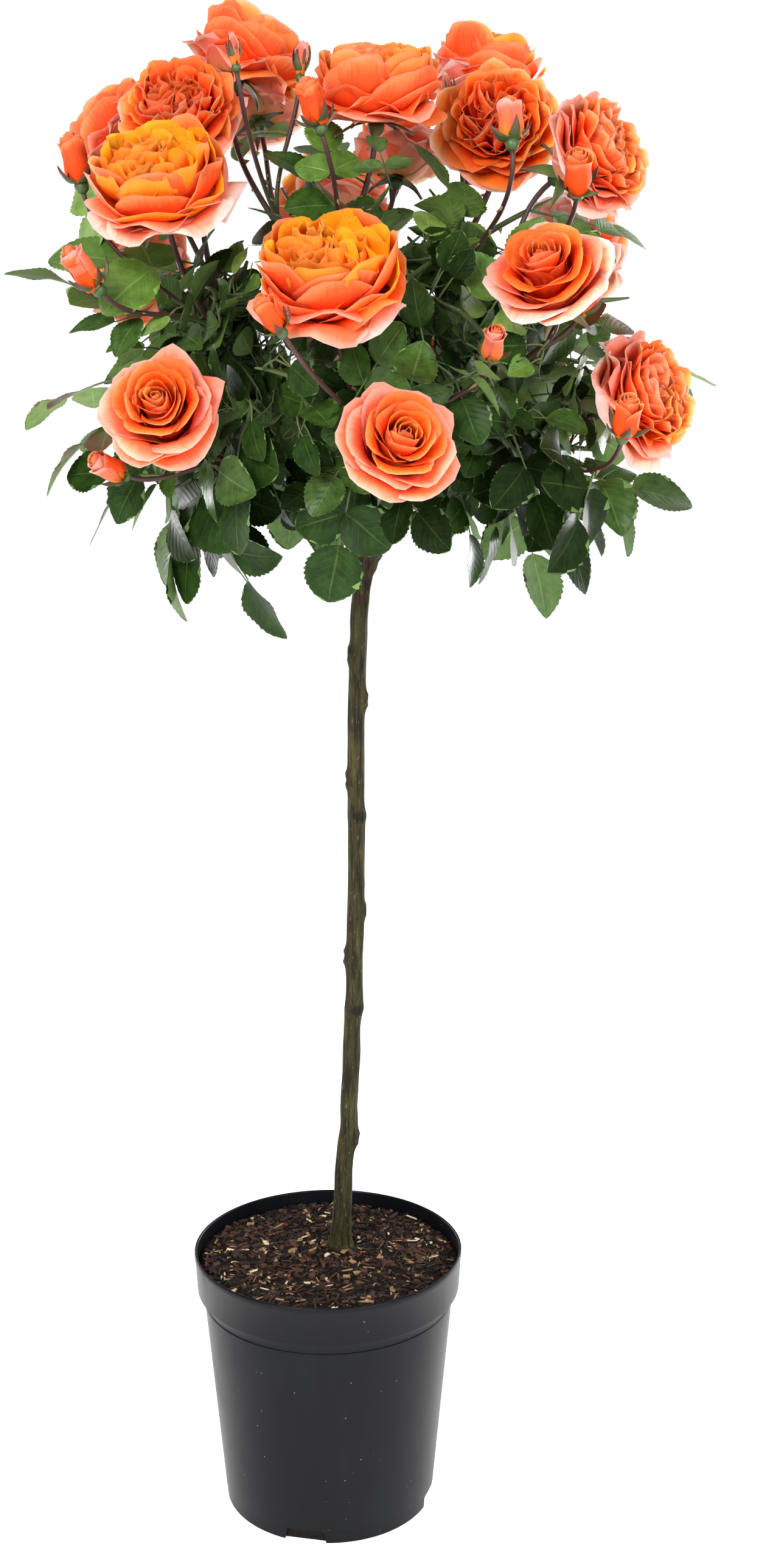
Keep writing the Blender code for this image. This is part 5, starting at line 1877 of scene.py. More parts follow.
# ---------------------------------------------------------------- stamps of leaves and petals
def shell(bm: bmesh.types.BMesh) -> Stamp:
    """Gives an open sheet an underside that shares its rim, and makes a stamp of it.

    Args:
        bm: A sheet whose corners' Z is 0; it is freed.

    Returns:
        The stamp: side 0 is the face, side 1 the back, and a height of -1 marks what lies behind the face.
    """
    made = bmesh.ops.duplicate(bm, geom=bm.verts[:] + bm.edges[:] + bm.faces[:])["geom"]
    faces = [part for part in made if isinstance(part, bmesh.types.BMFace)]
    bmesh.ops.reverse_faces(bm, faces=faces)
    for face in faces:
        face.material_index = 1
    for vert in {vert for face in faces for vert in face.verts}:
        if not vert.is_boundary:
            vert.co.z = -1.0
    bmesh.ops.remove_doubles(bm, verts=bm.verts, dist=1e-6)
    return Stamp.of(bm)


def sheet(columns: int, rows: int) -> bmesh.types.BMesh:
    """A flat sheet with X from -1 to 1 and Y from 0 to 1, mapped over its whole cell."""
    bm = bmesh.new()
    bmesh.ops.create_grid(bm, x_segments=columns, y_segments=rows, size=1.0)
    for vert in bm.verts:
        vert.co = Vector((vert.co.x, vert.co.y / 2 + 0.5, 0.0))
    return bm


def map_sheet(bm: bmesh.types.BMesh) -> None:
    """Maps a sheet's corners over a cell by their place."""
    layer = bm.loops.layers.uv.verify()
    for face in bm.faces:
        for loop in face.loops:
            loop[layer].uv = (loop.vert.co.x / 2 + 0.5, loop.vert.co.y)


class LeafOutline(Enum):
    """Outline of a leaflet: how blunt it is, and how wide for its length."""

    ROUND = (0.60, 0.84)
    OVATE = (0.74, 0.74)
    NARROW = (0.98, 0.52)


LEAFLET_GRID = (4, 6)
OUTLINE_SHARES = (0.42, 0.50, 0.08)
OUTLINE_SKEW = 0.844
RIM_FROM = 0.99
TOOTH_CUTS = 3
TOOTH_SIZES = (0.6, 1.2)
TOOTH_OUT = 0.042
TOOTH_AHEAD = 0.011


@lru_cache(maxsize=None)
def leaflet_stamp(outline: LeafOutline, seed: int) -> Stamp:
    """A toothed leaflet of unit length, whose X runs over its half width.

    Args:
        outline: Its outline.
        seed: Which of a few sets of teeth.

    Returns:
        The stamp.
    """
    rng = random.Random(seed)
    bm = sheet(*LEAFLET_GRID)
    sides = [edge for edge in bm.edges if all(abs(vert.co.x) > RIM_FROM for vert in edge.verts)]
    bmesh.ops.subdivide_edges(bm, edges=sides, cuts=TOOTH_CUTS)
    map_sheet(bm)
    for hand in (-1, 1):
        rim = sorted((vert for vert in bm.verts if vert.co.x * hand > RIM_FROM), key=lambda vert: vert.co.y)
        for index, vert in enumerate(rim):
            tooth = (1 if index % 2 else -1) * rng.uniform(*TOOTH_SIZES)
            vert.co.x = hand * (1 + tooth * TOOTH_OUT)
            vert.co.y += tooth * TOOTH_AHEAD if 0 < index < len(rim) - 1 else 0.0
    for vert in bm.verts:
        along = clamped(vert.co.y)
        vert.co.x *= math.sin(math.pi * along ** OUTLINE_SKEW) ** outline.value[0] if 0 < along < 1 else 0.0
    bmesh.ops.remove_doubles(bm, verts=bm.verts, dist=1e-5)
    return shell(bm)


@lru_cache(maxsize=None)
def petal_stamp(columns: int, rows: int) -> Stamp:
    """A petal's sheet with a back to it."""
    bm = sheet(columns, rows)
    map_sheet(bm)
    return shell(bm)


@lru_cache(maxsize=None)
def thorn_stamp() -> Stamp:
    """A hooked thorn of unit height on a long foot."""
    bm = bmesh.new()
    bmesh.ops.create_cone(bm, cap_ends=True, segments=6, radius1=0.34, radius2=0.03, depth=1.0, calc_uvs=True)
    for vert in bm.verts:
        x = vert.co.x - 0.38 if vert.co.z > 0 else vert.co.x * 1.7
        vert.co = Vector((x, vert.co.y * 0.7, vert.co.z + 0.5))
    return Stamp.of(bm)


@lru_cache(maxsize=None)
def ball_stamp() -> Stamp:
    """A ball of unit radius."""
    bm = bmesh.new()
    bmesh.ops.create_uvsphere(bm, u_segments=10, v_segments=7, radius=1.0, calc_uvs=True)
    return Stamp.of(bm)


# ---------------------------------------------------------------- petals
@dataclass(frozen=True)
class Whorl:
    """One ring of petals, in half widths of the bloom; its lifts in degrees, where 90 is upright."""

    count: int
    tip_radius: float
    tip_height: float
    root_lift: float
    tip_lift: float
    half_width: float
    part: PetalPart
    crown: float = 0.24
    roll: float = 0.0
    wave: float = 0.02
    fine: bool = True


SPIRAL_WHORLS = (
    Whorl(3, 0.05, 0.50, 84, 98, 0.14, PetalPart.HEART, fine=False),
    Whorl(3, 0.12, 0.53, 78, 96, 0.24, PetalPart.HEART, fine=False),
    Whorl(3, 0.21, 0.53, 72, 90, 0.36, PetalPart.INNER),
    Whorl(3, 0.33, 0.50, 62, 68, 0.50, PetalPart.INNER, wave=0.03),
    Whorl(4, 0.48, 0.45, 52, 44, 0.58, PetalPart.WALL, roll=0.03, wave=0.04),
    Whorl(4, 0.67, 0.34, 42, 18, 0.72, PetalPart.WALL, roll=0.04, wave=0.05),
    Whorl(5, 0.84, 0.12, 28, -2, 0.80, PetalPart.OUTER, crown=0.32, roll=0.05, wave=0.07),
    Whorl(5, 0.98, -0.15, 14, -26, 0.86, PetalPart.GUARD, crown=0.42, roll=0.06, wave=0.10),
)
ROSETTE_WHORLS = (
    Whorl(7, 0.56, 0.42, 56, 78, 0.30, PetalPart.INNER, wave=0.05),
    Whorl(8, 0.66, 0.36, 46, 62, 0.36, PetalPart.WALL, wave=0.05),
    Whorl(8, 0.77, 0.26, 36, 40, 0.42, PetalPart.WALL, roll=0.03, wave=0.05),
    Whorl(7, 0.87, 0.10, 26, 12, 0.52, PetalPart.OUTER, roll=0.05, wave=0.07),
    Whorl(6, 0.96, -0.07, 16, -12, 0.68, PetalPart.OUTER, roll=0.06, wave=0.09),
    Whorl(5, 1.00, -0.27, 4, -36, 0.80, PetalPart.GUARD, roll=0.06, wave=0.10),
)
CUP_WHORLS = (
    Whorl(6, 0.80, 0.33, 24, 92, 0.50, PetalPart.INNER, wave=0.05),
    Whorl(5, 0.87, 0.30, 10, 88, 0.74, PetalPart.WALL, crown=0.42, wave=0.05),
    Whorl(5, 0.94, 0.12, -2, 76, 0.80, PetalPart.WALL, crown=0.50, roll=0.03, wave=0.05),
    Whorl(4, 0.98, -0.12, -6, 52, 0.90, PetalPart.WALL, crown=0.50, roll=0.04, wave=0.06),
    Whorl(5, 1.03, -0.36, -10, -14, 0.78, PetalPart.OUTER, crown=0.44, roll=0.05, wave=0.12),
    Whorl(5, 1.05, -0.62, -18, -52, 0.80, PetalPart.GUARD, crown=0.40, roll=0.06, wave=0.15),
)
BUD_WHORLS = (
    Whorl(3, 0.16, 1.34, 88, 98, 0.50, PetalPart.INNER, fine=False),
    Whorl(3, 0.30, 1.30, 84, 96, 0.70, PetalPart.WALL, fine=False),
    Whorl(4, 0.48, 1.16, 78, 88, 0.80, PetalPart.OUTER, roll=0.08),
    Whorl(3, 0.70, 0.98, 70, 62, 0.90, PetalPart.OUTER, roll=0.12),
)
CLOSED_WHORLS = (
    Whorl(3, 0.14, 1.40, 88, 98, 0.50, PetalPart.WALL, fine=False),
    Whorl(3, 0.22, 1.34, 84, 100, 0.80, PetalPart.OUTER, fine=False),
)


@dataclass(frozen=True)
class FlowerPlan:
    """What a bloom or a bud is made of, in half widths of it.

    The heart is its number of petals, how far out and how high they reach and how much higher its middle
    is; the roots are the first whorl's claw and the step to the next; the sepals are their root height,
    length, lifts and half width; the hip is its height, radius and half its own height.
    """

    whorls: tuple
    heart: tuple = (0, 0.0, 0.0, 0.0)
    first_root: tuple = (0.07, -0.60)
    root_step: tuple = (0.02, -0.01)
    sepals: tuple = (-0.70, 0.58, (-6, -40), 0.12)
    hip: tuple = (-0.78, 0.13, 0.15)


BLOOM_PLANS = {
    Kind.SPIRAL: FlowerPlan(SPIRAL_WHORLS),
    Kind.ROSETTE: FlowerPlan(ROSETTE_WHORLS, (34, 0.50, 0.42, -0.10)),
    Kind.CUP: FlowerPlan(CUP_WHORLS, (48, 0.70, 0.27, 0.14)),
}
BUD_LOOKS = {"first_root": (0.20, -0.95), "root_step": (0.10, 0.0), "hip": (-1.16, 0.36, 0.38)}
BUD_PLAN = FlowerPlan(BUD_WHORLS, sepals=(-0.98, 1.35, (6, 70), 0.40), **BUD_LOOKS)
CLOSED_PLAN = FlowerPlan(CLOSED_WHORLS, sepals=(-0.98, 2.0, (58, 98), 0.40), **BUD_LOOKS)
CLOSED_WIDTH = 0.019

FINE_GRID = (10, 6)
PLAIN_GRID = (6, 5)
PETAL_THICKNESS = 0.00045
CUP_NOD = math.radians(4.0)
NEIGHBOUR_SHARE = 0.14
PETAL_SWING = 0.05
# spans that a whorl's petal is drawn from: shares of the tip's radius, shifts of its height and of both
# lifts, shares of the half width, crown, roll and wave, and the wave's phase
WHORL_SPANS = ((0.92, 1.05), (-0.05, 0.05), (-4, 4), (-12, 12), (0.90, 1.10), (0.7, 1.4), (0.4, 1.5),
               (0.5, 1.5), (0, math.tau))
WHORL_TUCK = 0.035
# the same for a heart's petal: shifts of the tip's height and lift, then its half width, crown, roll,
# wave, phase, wrap and least wrap
HEART_SPANS = ((-0.07, 0.07), (-34, 34), (0.20, 0.36), (0.05, 0.30), (-0.10, 0.10), (0.02, 0.05),
               (0, math.tau), (0.5, 1.2), (0.07, 0.20))
HEART_TUCK = 0.02
HEART_YAW = 0.30
HEART_YAW_PLACE = 0.7
HEART_PART_TO = 0.72
SEPAL_COUNT = 5
SEPAL_ROOT = 0.10
SEPAL_LIFT_SHIFTS = (-14, 14)
SEPAL_LENGTHS = (0.85, 1.15)


@dataclass(frozen=True)
class PetalShape:
    """How one petal is laid from its claw to its rim, in half widths of its bloom."""

    root: tuple
    tip: tuple
    root_lift: float
    tip_lift: float
    half_width: float
    crown: float
    roll: float
    wave: float
    phase: float
    tuck: float
    wrap: float = 1.0
    least_wrap: float = 0.05
    claw: float = 0.30
    pull: float = 0.42

    def lay(self, stamp: Stamp, thickness: float) -> np.ndarray:
        """Lays the petal's sheet about the bloom's axis, its middle over +X.

        Args:
            stamp: The petal's sheet.
            thickness: How thick the petal is.

        Returns:
            Its places, with the axis as Z.
        """
        across, up, behind = stamp.places.T
        # the rim falls away at its sides and waves a little
        along = up * (1 - self.crown * np.abs(across) ** 3.2 * up)
        along *= 1 + np.sin(across * 4.4 + self.phase * 3.1) * self.wave * 0.40 * up ** 3
        # the middle's course from the claw to the rim, and the way that looks in to the axis
        reach = self.pull * math.dist(self.root, self.tip)
        root_way, tip_way = (np.array((math.cos(math.radians(lift)), math.sin(math.radians(lift)))) * reach
                             for lift in (self.root_lift, self.tip_lift))
        handles = np.array((self.root, self.root + root_way, self.tip - tip_way, self.tip))
        left = 1 - along
        weights = np.stack((left ** 3, 3 * along * left ** 2, 3 * along ** 2 * left, along ** 3), axis=1)
        slopes = np.stack((left ** 2, 2 * along * left, along ** 2), axis=1)
        middle = weights @ handles
        tangent = slopes @ (handles[1:] - handles[:-1])
        tangent /= np.linalg.norm(tangent, axis=1, keepdims=True) + 1e-9
        inward = np.stack((-tangent[:, 1], tangent[:, 0]), axis=1)
        spread = between(self.claw, 1, np.sin(np.minimum(1.0, up / 0.72) * math.pi / 2))
        aside = across * self.half_width * spread
        # ripples, rolled sides, and the tuck of one side under the next petal
        ripple = np.sin(across * 5.2 + self.phase) * self.wave * up ** 2
        ripple += np.sin(across * 8.0 + self.phase * 2.7) * self.wave * 0.35 * up ** 3
        rolled = -self.roll * np.abs(across) ** 3 * up ** 2 - self.tuck * across * (0.3 + up)
        offset = ripple + rolled + behind * thickness
        radius = middle[:, 0] + inward[:, 0] * offset
        height = middle[:, 1] + inward[:, 1] * offset
        # wrapped round the axis
        bend_radius = np.maximum(np.maximum(middle[:, 0] * self.wrap, self.least_wrap), np.abs(aside) * 0.55)
        turn = aside / bend_radius
        out = radius - bend_radius + bend_radius * np.cos(turn)
        return np.stack((out, -bend_radius * np.sin(turn), height), axis=1)


def turned(places: np.ndarray, angle: float, yaw: float = 0.0, about: float = 0.0) -> np.ndarray:
    """Turns places round the Z axis.

    Args:
        places: The places.
        angle: The turn about the axis.
        yaw: A turn of the petal about its own upright line, made first.
        about: That line's place on X.

    Returns:
        The turned places.
    """
    moved = places - np.array((about, 0.0, 0.0))
    own = np.array(Matrix.Rotation(yaw, 3, "Z"))
    round_axis = np.array(Matrix.Rotation(angle, 3, "Z"))
    return (moved @ own.T + np.array((about, 0.0, 0.0))) @ round_axis.T


@dataclass(frozen=True)
class Flower:
    """An open bloom or a bud on its twig's end, the piece that it joins and where its draws come from."""

    shoot: Shoot
    batch: Batch
    rng: random.Random

    def plan(self) -> FlowerPlan:
        """What the flower is made of."""
        if self.shoot.kind is Kind.BUD:
            return CLOSED_PLAN if self.shoot.width < CLOSED_WIDTH else BUD_PLAN
        return BLOOM_PLANS[self.shoot.kind]

    def put(self, stamp: Stamp, places: np.ndarray, cells: tuple) -> None:
        """Adds one copy, given in half widths of the flower; a full cup nods a little further.

        Args:
            stamp: What is copied.
            places: Where its vertices go, with the flower's axis as Z.
            cells: The cell for each of its sides.
        """
        turn = self.shoot.facing.to_track_quat("Z", "Y").to_matrix()
        if self.shoot.kind is Kind.CUP:
            turn = Matrix.Rotation(CUP_NOD, 3, UP.cross(self.shoot.facing)) @ turn
        centre = np.array(self.shoot.end[:])
        self.batch.add(stamp, places * self.shoot.width / 2 @ np.array(turn).T + centre, cells)

    def lay(self, stamp: Stamp, shape: PetalShape) -> np.ndarray:
        """Lays a petal of the flower's own thickness."""
        return shape.lay(stamp, PETAL_THICKNESS / (self.shoot.width / 2))

    def hue(self, part: PetalPart) -> tuple:
        """The cells of a petal: the tint's hue for its part, sometimes its neighbour's."""
        shift = 1 if self.rng.random() < NEIGHBOUR_SHARE else 0
        return self.shoot.tint.value[max(0, part.value - shift)].cells()

    def whorl(self, row: Whorl, start: float, root: tuple) -> None:
        """Adds one ring of petals.

        Args:
            row: The ring.
            start: The angle of its first petal.
            root: Radius and height of the petals' claws.
        """
        stamp = petal_stamp(*(FINE_GRID if row.fine else PLAIN_GRID))
        for index in range(row.count):
            swing = self.rng.gauss(0, PETAL_SWING)
            out, high, root_turn, tip_turn, wide, crown, roll, wave, phase = (
                self.rng.uniform(*span) for span in WHORL_SPANS)
            shape = PetalShape(root, (row.tip_radius * out, row.tip_height + high), row.root_lift + root_turn,
                               row.tip_lift + tip_turn, row.half_width * wide, row.crown * crown,
                               row.roll * roll, row.wave * wave, phase, WHORL_TUCK)
            places = turned(self.lay(stamp, shape), start + index * math.tau / row.count + swing)
            self.put(stamp, places, self.hue(row.part))

    def muddle(self, count: int, reach: float, height: float, dome: float) -> None:
        """Fills the heart with small crumpled petals, packed from the middle out.

        Args:
            count: How many there are.
            reach: How far out they stand.
            height: How high they reach at the heart's edge.
            dome: How much higher they reach in its middle.
        """
        stamp = petal_stamp(*PLAIN_GRID)
        for index in range(count):
            share = math.sqrt((index + 0.6) / count)
            tip = reach * share
            high, tip_turn, *form, phase, wrap, least_wrap = (self.rng.uniform(*span) for span in HEART_SPANS)
            shape = PetalShape((0.03 + 0.16 * share, -0.46), (tip, height + dome * (1 - share) + high),
                               80 - 26 * share, 98 + tip_turn, *form, phase, HEART_TUCK, wrap, least_wrap)
            yaw = self.rng.gauss(0, HEART_YAW) + (math.pi / 2 if index % 5 > 1 else 0.0)
            places = turned(self.lay(stamp, shape), index * GOLDEN_TURN, yaw, tip * HEART_YAW_PLACE)
            self.put(stamp, places, self.hue(PetalPart.HEART if share < HEART_PART_TO else PetalPart.INNER))

    def sepals(self, height: float, length: float, lifts: tuple, width: float) -> None:
        """Adds long pointed sepals.

        Args:
            height: Where they leave the hip.
            length: How long they are.
            lifts: Their lift at the root and at the tip, in degrees.
            width: Their half width.
        """
        stamp = petal_stamp(*PLAIN_GRID)
        start = self.rng.uniform(0, math.tau)
        taper = np.clip(1.08 - stamp.places[:, 1] ** 1.4, 0.05, 1.0)
        for index in range(SEPAL_COUNT):
            root_lift, tip_lift = (lift + self.rng.uniform(*SEPAL_LIFT_SHIFTS) for lift in lifts)
            long = length * self.rng.uniform(*SEPAL_LENGTHS)
            middle = math.radians((root_lift + tip_lift) / 2)
            tip = (SEPAL_ROOT + math.cos(middle) * long, height + math.sin(middle) * long)
            phase = self.rng.uniform(0, math.tau)
            shape = PetalShape((SEPAL_ROOT, height), tip, root_lift, tip_lift, width, crown=0.0, roll=0.04,
                               wave=0.01, phase=phase, tuck=0.0, least_wrap=0.12, claw=1.0)
            places = self.lay(stamp, shape)
            places[:, 1] *= taper
            self.put(stamp, turned(places, start + index * math.tau / SEPAL_COUNT), SEPAL_CELLS)

    def hip(self, height: float, radius: float, tall: float) -> None:
        """Adds the green hip under the petals."""
        stamp = ball_stamp()
        places = stamp.places * np.array((radius, radius, tall)) + np.array((0.0, 0.0, height))
        self.put(stamp, places, (SEPAL_CELLS[1],))

    def build(self) -> None:
        """Adds the whole flower to its piece."""
        start = self.rng.uniform(0, math.tau)
        plan = self.plan()
        self.muddle(*plan.heart)
        for number, row in enumerate(plan.whorls):
            root = tuple(first + step * number for first, step in zip(plan.first_root, plan.root_step))
            self.whorl(row, start + number * GOLDEN_TURN, root)
        self.sepals(*plan.sepals)
        self.hip(*plan.hip)


# ---------------------------------------------------------------- masses of foliage
FINE_SEED = 8200
FLOWER_SEED = 500
FLOWER_SEEDS = 40
HEART_MIDDLE = Vector((0.038, 0.000, 0.806))
HEART_REACH = Vector((0.165, 0.150, 0.100))


def leaf_weights(place: Vector) -> tuple:
    """How often each leaf colour comes up: lighter up top and out at the sides as painted light, darker
    within and below as painted shade, and some bronze at the sides.

    Args:
        place: Where the leaf is.

    Returns:
        A weight for each of the leaf's top finishes.
    """
    high = clamped((place.z - 0.83) / 0.09)
    low = clamped((0.79 - place.z) / 0.06)
    out = clamped(((place - CROWN_CENTRE).length - 0.06) / 0.14)
    wide = clamped((abs(place.x - CROWN_CENTRE.x) - 0.07) / 0.08) * (1 - low)
    within = (1 - wide) * (1 - high)
    bronze = 0.0
    if place.x > 0.13 and place.z > 0.82:
        bronze = 2.2
    if place.x < -0.12 and place.z > 0.84:
        bronze = 1.2
    # shares of deep, dark, mid, bright, light and bronze: low and within raise the darker tones as painted
    # shade, high and wide raise the lighter tones as painted light
    shares = (1.0 - wide * 0.8 - high * 0.4 + low * 5.0 + within * 1.2,
              2.0 - high * 1.8 - wide * 1.2 + low * 1.5 + within * 1.4,
              1.5 + out * 0.4 - low * 0.9,
              0.30 + high * 4.4 + wide * 3.2 - within * 0.24,
              0.04 + (wide * 0.9 + high * 2.6) * (1 - low),
              0.02 + bronze)
    return tuple(max(0.0, share) for share in shares)


def outside_heart(place: Vector) -> float:
    """How far a place lies from the middle of the crown's dense heart, where 1 is on its skin."""
    offset = place - HEART_MIDDLE
    return math.sqrt(sum((part / reach) ** 2 for part, reach in zip(offset, HEART_REACH)))


@dataclass(frozen=True)
class FinerGrowth:
    """How the crown's heart is filled with side shoots after the rule's sprays are set."""

    fork_steps: int = 12
    fork_reach: float = 0.92
    fork_cost: float = 0.010
    tries: int = 900
    heart_reach: float = 0.92
    thin_to: float = 0.925
    thin_depth: float = 0.05
    reach: float = 0.026
    least_reach: float = 0.010
    reach_slack: float = 0.02
    spacing: float = 0.015
    way_share: float = 0.7
    up_share: float = 0.4
    steps: int = 6
    spray_shares: tuple = (1.0, 0.70, 0.42)
    spray_tries: int = 5
    paired_tries: int = 3
    end_spread: float = 0.3
    scales: tuple = (0.74, 1.0)
    shrink: float = 0.92
    retry_turn: float = 1.3
    wander: float = 2.6
    leaf_reach: float = 1.12
    base_radius: float = 0.0010
    tip_radius: float = 0.0006


@dataclass
class FoliageMass:
    """One mass of foliage: its twigs with their thorns, its leaves, and its blooms and buds."""

    name: str
    number: int
    twigs: list
    stem: list
    crown: Crown
    materials: dict
    sprays: list = field(default_factory=list)
    trees: list = field(default_factory=list)
    twig_tree: BVHTree | None = None
    shoots: list = field(default_factory=list)
    finer: FinerGrowth = FinerGrowth()
    twig_sides: int = 8
    twig_ring_step: float = 0.007
    stem_sink: float = 0.003
    fork_swell: float = 0.30
    fork_fade: float = 0.004
    tip_share: float = 0.40
    tip_taper: float = 0.016
    thorn_least: float = 0.0014
    thorn_first: tuple = (0.006, 0.014)
    thorn_last: float = 0.02
    thorn_step: float = 0.016
    thorn_steps: tuple = (0.6, 1.6)
    thorn_sizes: tuple = (0.0024, 0.0048)
    thorn_sink: float = 0.75
    stalk_sides: int = 5
    stalk_steps: int = 5
    stalk_rises: tuple = (-0.0010, 0.0022)
    stalk_radii: tuple = (0.00095, 0.00075, 0.00066, 0.00060, 0.00055, 0.00045)
    leaf_show: float = 0.98
    leaf_thickness: float = 0.00028
    # spans of a leaflet's length, width, fold, sag, wave, twist and phase
    leaf_spans: tuple = ((0.94, 1.04), (0.94, 1.08), (0.02, 0.34), (0.04, 0.30), (0.010, 0.034),
                         (-0.25, 0.25), (0, math.tau))

    def keeps(self, spray: Spray) -> bool:
        """Keeps a spray where it fits, and tells whether it does."""
        fits = self.crown.fits(spray, self.number, self.twig_tree, self.trees)
        if fits:
            self.sprays.append(spray)
            self.trees.append(spray.tree())
        return fits

    def grow(self) -> None:
        """Sets sprays along the twigs by the rule of the solids, then carries on to finer shoots."""
        rng = random.Random(LEAF_SEED + self.number)
        spots = [(*along_course(twig.course, 1.0), END_SPREAD) for twig in self.twigs
                 if twig.shoot.kind is Kind.LEAFY]
        for twig in self.twigs:
            length = course_length(twig.course)
            distance = LEAF_FIRST
            while distance < length - LEAF_LAST.get(twig.shoot.kind, LEAF_LAST_BLOOM):
                spots.append((*along_course(twig.course, distance / length), 1.0))
                distance += LEAF_SPACING
        turn = rng.uniform(0, math.tau)
        for place, way, spread in spots:
            turn += GOLDEN_TURN
            for attempt in range(LEAF_TRIES):
                spray = make_spray(rng, place, way, turn + attempt * RETRY_TURN, TRY_SHRINK ** attempt,
                                   spread)
                if self.keeps(spray):
                    break
        ruled = len(self.sprays)
        self.grow_finer()
        LOG.info("%s: %d sprays by the rule, %d in all", self.name, ruled, len(self.sprays))

    def grow_finer(self) -> None:
        """Fills the gaps of the mass's own space with side shoots, each with a few smaller sprays."""
        fine = self.finer
        rng = random.Random(FINE_SEED + self.number)
        hosts = [twig for twig in self.twigs if twig.shoot.kind is not Kind.BUD]
        forks = [along_course(twig.course, step / fine.fork_steps)
                 for twig in hosts for step in range(1, fine.fork_steps)]
        forks = [fork for fork in forks if outside_heart(fork[0]) < fine.fork_reach]
        if not forks:
            return
        spots = np.array([place[:] for place, _ in forks])
        low, high = spots.min(axis=0) - fine.reach, spots.max(axis=0) + fine.reach
        filled = [leaflet.root[:] for spray in self.sprays for leaflet in spray.leaflets]
        used = np.zeros(len(forks))
        for _ in range(fine.tries):
            target = Vector([rng.uniform(*pair) for pair in zip(low, high)])
            if outside_heart(target) > fine.heart_reach:
                continue
            if rng.random() > (fine.thin_to - target.z) / fine.thin_depth:
                continue
            if np.linalg.norm(np.array(filled) - np.array(target[:]), axis=1).min() < fine.spacing:
                continue
            away = np.linalg.norm(spots - np.array(target[:]), axis=1)
            best = int((away + used * fine.fork_cost).argmin())
            if not fine.least_reach < away[best] < fine.reach + fine.reach_slack:
                continue
            if hides_bloom(target, self.crown.shoots) or not self.crown.space.holds(self.number, [target]):
                continue
            kept = self.side_shoot(rng, forks[best], target)
            used[best] += len(kept)
            filled += [leaflet.root[:] for spray in kept for leaflet in spray.leaflets]

    def side_shoot(self, rng: random.Random, fork: tuple, target: Vector) -> list:
        """Tries one side shoot, and keeps it where at least one of its sprays fits.

        Args:
            rng: Where its draws come from.
            fork: The place and heading of the twig that it leaves.
            target: Where it ends.

        Returns:
            The sprays that fit.
        """
        fine = self.finer
        place, way = fork
        direction = (target - place).normalized()
        outward = (target - CROWN_CENTRE).normalized()
        course = bend(place, way * fine.way_share + direction, target,
                      outward + UP * fine.up_share + direction, TWIG_PULL, fine.steps)
        if any(hides_bloom(sample, self.crown.shoots) for sample in course[2:]):
            return []
        kept = []
        turn = rng.uniform(0, math.tau)
        for share in fine.spray_shares:
            spot, ahead = along_course(course, share)
            spread = fine.end_spread if share == 1.0 else 1.0
            turn += GOLDEN_TURN
            for attempt in range(fine.spray_tries):
                scale = rng.uniform(*fine.scales) * fine.shrink ** attempt
                most = 2 if attempt < fine.paired_tries else 0
                spray = make_spray(rng, spot, ahead, turn + attempt * fine.retry_turn, scale, spread, most,
                                   fine.wander)
                if max(map(outside_heart, spray.samples())) <= fine.leaf_reach and self.keeps(spray):
                    kept.append(spray)
                    break
        if kept:
            shoot = Shoot(Kind.LEAFY, target, 0.0, direction)
            self.shoots.append(Twig(course, fine.base_radius, fine.tip_radius, shoot))
        return kept

    def build_twigs(self) -> None:
        """Joins the twigs, side shoots and thorns into one piece."""
        rng = random.Random(FINE_SEED * 2 + self.number)
        batch = Batch(self.name + "_twigs", self.materials["shoots"])
        root, end = self.stem
        way = (end - root).normalized()
        stem = Twig([root - way * self.stem_sink, root, end], TWIG_BASE_RADIUS, TWIG_BASE_RADIUS,
                    Shoot(Kind.LEAFY, end, 0.0, way))
        for twig in (stem, *self.twigs, *self.shoots):
            length = course_length(twig.course)
            course = spaced(twig.course, self.twig_ring_step, 3)
            radii = []
            for share in (index / (len(course) - 1) for index in range(len(course))):
                swell = 1 + self.fork_swell * math.exp(-share * length / self.fork_fade)
                if twig.shoot.kind is Kind.LEAFY and twig is not stem:
                    full = (1 - self.tip_share) * (1 - share) * length / self.tip_taper
                    swell *= min(1.0, self.tip_share + full)
                radii.append(between(twig.base_radius, twig.tip_radius, share) * swell)
            cell = GREEN_SHOOT_CELL if twig.shoot.kind is Kind.LEAFY else FLOWER_STEM_CELL
            batch.tube(self.twig_sides, course, radii, cell)
            if twig.base_radius < self.thorn_least:
                continue
            distance = rng.uniform(*self.thorn_first)
            while distance < length - self.thorn_last:
                place, ahead = along_course(twig.course, distance / length)
                radius = twig.base_radius + (twig.tip_radius - twig.base_radius) * distance / length
                self.add_thorn(batch, rng, place, ahead, radius)
                distance += self.thorn_step * rng.uniform(*self.thorn_steps)
        batch.piece("foliage", self.name)

    def add_thorn(self, batch: Batch, rng: random.Random, place: Vector, ahead: Vector,
                  radius: float) -> None:
        """Adds one thorn that hooks back along its twig.

        Args:
            batch: The piece that it joins.
            rng: Where its draws come from.
            place: The place on the twig's course.
            ahead: The twig's heading there.
            radius: The twig's radius there.
        """
        out = Matrix.Rotation(rng.uniform(0, math.tau), 3, ahead) @ ahead.orthogonal().normalized()
        turn = Matrix((ahead, out.cross(ahead), out)).transposed()
        stamp = thorn_stamp()
        places = stamp.places * rng.uniform(*self.thorn_sizes) @ np.array(turn).T
        batch.add(stamp, places + np.array((place + out * radius * self.thorn_sink)[:]), (THORN_CELL,))

